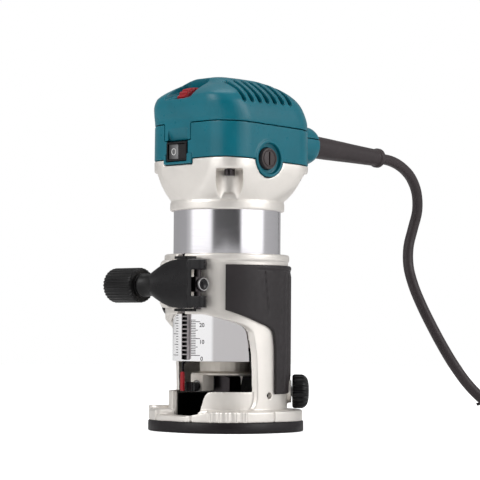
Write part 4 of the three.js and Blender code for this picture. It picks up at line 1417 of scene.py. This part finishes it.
def add_dial():
    profile = [
        (0, -4), (8.6, -4), (DIAL_R - 0.6, -3.8), (DIAL_R, -3.2), (DIAL_R, 3.2), (DIAL_R - 0.6, 3.8),
        (8.6, 4), (0, 4),
    ]
    wheel = moved(to_x(turned(profile, 320, ridges(20, 0.7), 9.5), DIAL[1], DIAL[2]), x=DIAL[0])
    finished(make("dial_wheel", wheel), "speed_dial", "red_plastic", "speed_dial")


# ---------------------------------------------------------------- stage

FLOOR_SIZE = 3.4
FLOOR_GLOW = 0.72
# The studio round the object: angle from the camera towards its right, brightness
STUDIO = [
    (-180, 0.35), (-100, 0.4), (-86, 0.62), (-78, 1.3), (-36, 1.3), (-29, 0.1), (27, 0.07),
    (33, 1.45), (80, 1.45), (88, 0.5), (180, 0.35),
]
PANEL_REACH = (0.35, 0.8)            # sines of the heights where the panels start to fade, and end
OVERHEAD = 0.42
BRIGHTEST = 2.0                      # the world's strength, by which its colours are divided


def add_floor():
    """A pale floor; what it glows with is seen by the camera alone, so it adds no light."""
    bpy.ops.mesh.primitive_plane_add(size=FLOOR_SIZE)
    floor = bpy.context.active_object
    floor.name = "floor"
    floor.location.z = -0.0001
    finish = Finish("floor", 0.9, Specular_IOR_Level=0.1)
    finish.colour(finish.mixed(finish.noise(3), (0.86, 0.86, 0.86), (0.88, 0.88, 0.88)))
    finish.shader.inputs["Emission Color"].default_value = (1, 1, 1, 1)
    glow = finish.math("MULTIPLY", finish.for_camera(), FLOOR_GLOW)
    finish.links.new(glow, finish.shader.inputs["Emission Strength"])
    floor.data.materials.append(finish.material)


def panels(graph):
    """The studio's brightness by the angle round the object, as a colour ramp."""
    x, y, _ = graph.split(graph.nodes.new("ShaderNodeTexCoord").outputs["Generated"])
    azimuth = graph.math("ARCTAN2", x, graph.math("MULTIPLY", y, -1))
    turns = graph.math("DIVIDE", graph.math("SUBTRACT", azimuth, VIEW_AZIMUTH), 2 * math.pi)
    ramp = graph.nodes.new("ShaderNodeValToRGB")
    graph.put(ramp.inputs["Fac"], graph.math("FRACT", graph.math("ADD", turns, 1.5)))
    stops = ramp.color_ramp.elements
    while len(stops) < len(STUDIO):
        stops.new(0.5)
    for stop, (angle, level) in zip(stops, STUDIO):
        stop.position = angle / 360 + 0.5
        stop.color = (*[level / BRIGHTEST] * 3, 1)
    return ramp.outputs["Color"]


def add_studio():
    """Soft panels to the left and right; the camera itself sees plain white."""
    world = bpy.data.worlds.new("studio")
    bpy.context.scene.world = world
    world.use_nodes = True
    graph = Graph(world.node_tree)
    z = graph.split(graph.nodes.new("ShaderNodeTexCoord").outputs["Generated"])[2]
    fade = graph.ranged(graph.math("ABSOLUTE", z), 0, 1, *PANEL_REACH)
    light = graph.mixed(fade, panels(graph), [OVERHEAD / BRIGHTEST] * 3)
    background = graph.nodes["Background"]
    seen = graph.mixed(graph.for_camera(), light, [1 / BRIGHTEST] * 3)
    graph.put(background.inputs["Color"], seen)
    graph.put(background.inputs["Strength"], BRIGHTEST)


def add_softbox(name, angle, distance, height, size, power):
    """A square light at an angle from the camera, aimed at the tool."""
    azimuth = VIEW_AZIMUTH + math.radians(angle)
    data = bpy.data.lights.new(name, "AREA")
    data.size = size
    data.energy = power
    light = bpy.data.objects.new(name, data)
    bpy.context.collection.objects.link(light)
    place = np.array([distance * math.sin(azimuth), -distance * math.cos(azimuth), height])
    light.location = place
    aim = np.array([0, 0, 0.11]) - place
    light.rotation_euler = direction_angles(aim)


def direction_angles(aim):
    flat = math.hypot(aim[0], aim[1])
    return (math.pi / 2 + math.atan2(aim[2], flat), 0, math.atan2(aim[1], aim[0]) - math.pi / 2)


def add_lights():
    add_softbox("key", -58, 1.2, 1.0, 0.8, 7)
    add_softbox("fill", 66, 1.3, 0.8, 0.8, 6)
    add_softbox("top", 180, 0.3, 1.8, 1.0, 6)


# Dark steel on these nodes: painted shade on the lever pins and the clamp block inside the hinge,
# painted dark reflection on the collet nut, and the same dark steel on the head screws.
DARK_STEEL_AND_SHADE_NODES = {
    "collet_nut", "lever_pin_upper", "lever_pin_lower", "clamp_block",
    *(f"head_screw_{i}" for i in range(1, 5)),
}


def paint_cad_nodes():
    """Gives every CAD node a finish, for those that no piece stands in for."""
    for part in frame["record"]["subparts"]:
        node = frame["nodes"][part["node"]]
        node.data.materials.clear()
        # Painted shade and painted dark reflection, as dark steel, on the listed nodes.
        given_dark_steel = part["node"] in DARK_STEEL_AND_SHADE_NODES
        node.data.materials.append(MATERIALS["black_steel" if given_dark_steel else part["material_slot"]])
        node.data.shade_smooth()
        node.data.set_sharp_from_angle(angle=math.radians(32))


bpy.context.scene.view_settings.view_transform = "Standard"
add_camera()
paint_cad_nodes()
add_cord()
add_floor()
add_studio()
add_lights()
add_motor_housing()
add_mid_housing()
add_top_cover()
add_sub_base()
add_sole_screws()
add_base_casting()
add_grip()
add_lever()
add_height_knob()
add_guide_knob()
add_shaft_nut()
add_motor_tube()
add_rack()
add_scale()
add_pointer()
add_guard()
add_brush_cap(1, "right")
add_brush_cap(-1, "left")
add_rocker()
add_switch_frame()
add_dial()
add_lock_button()
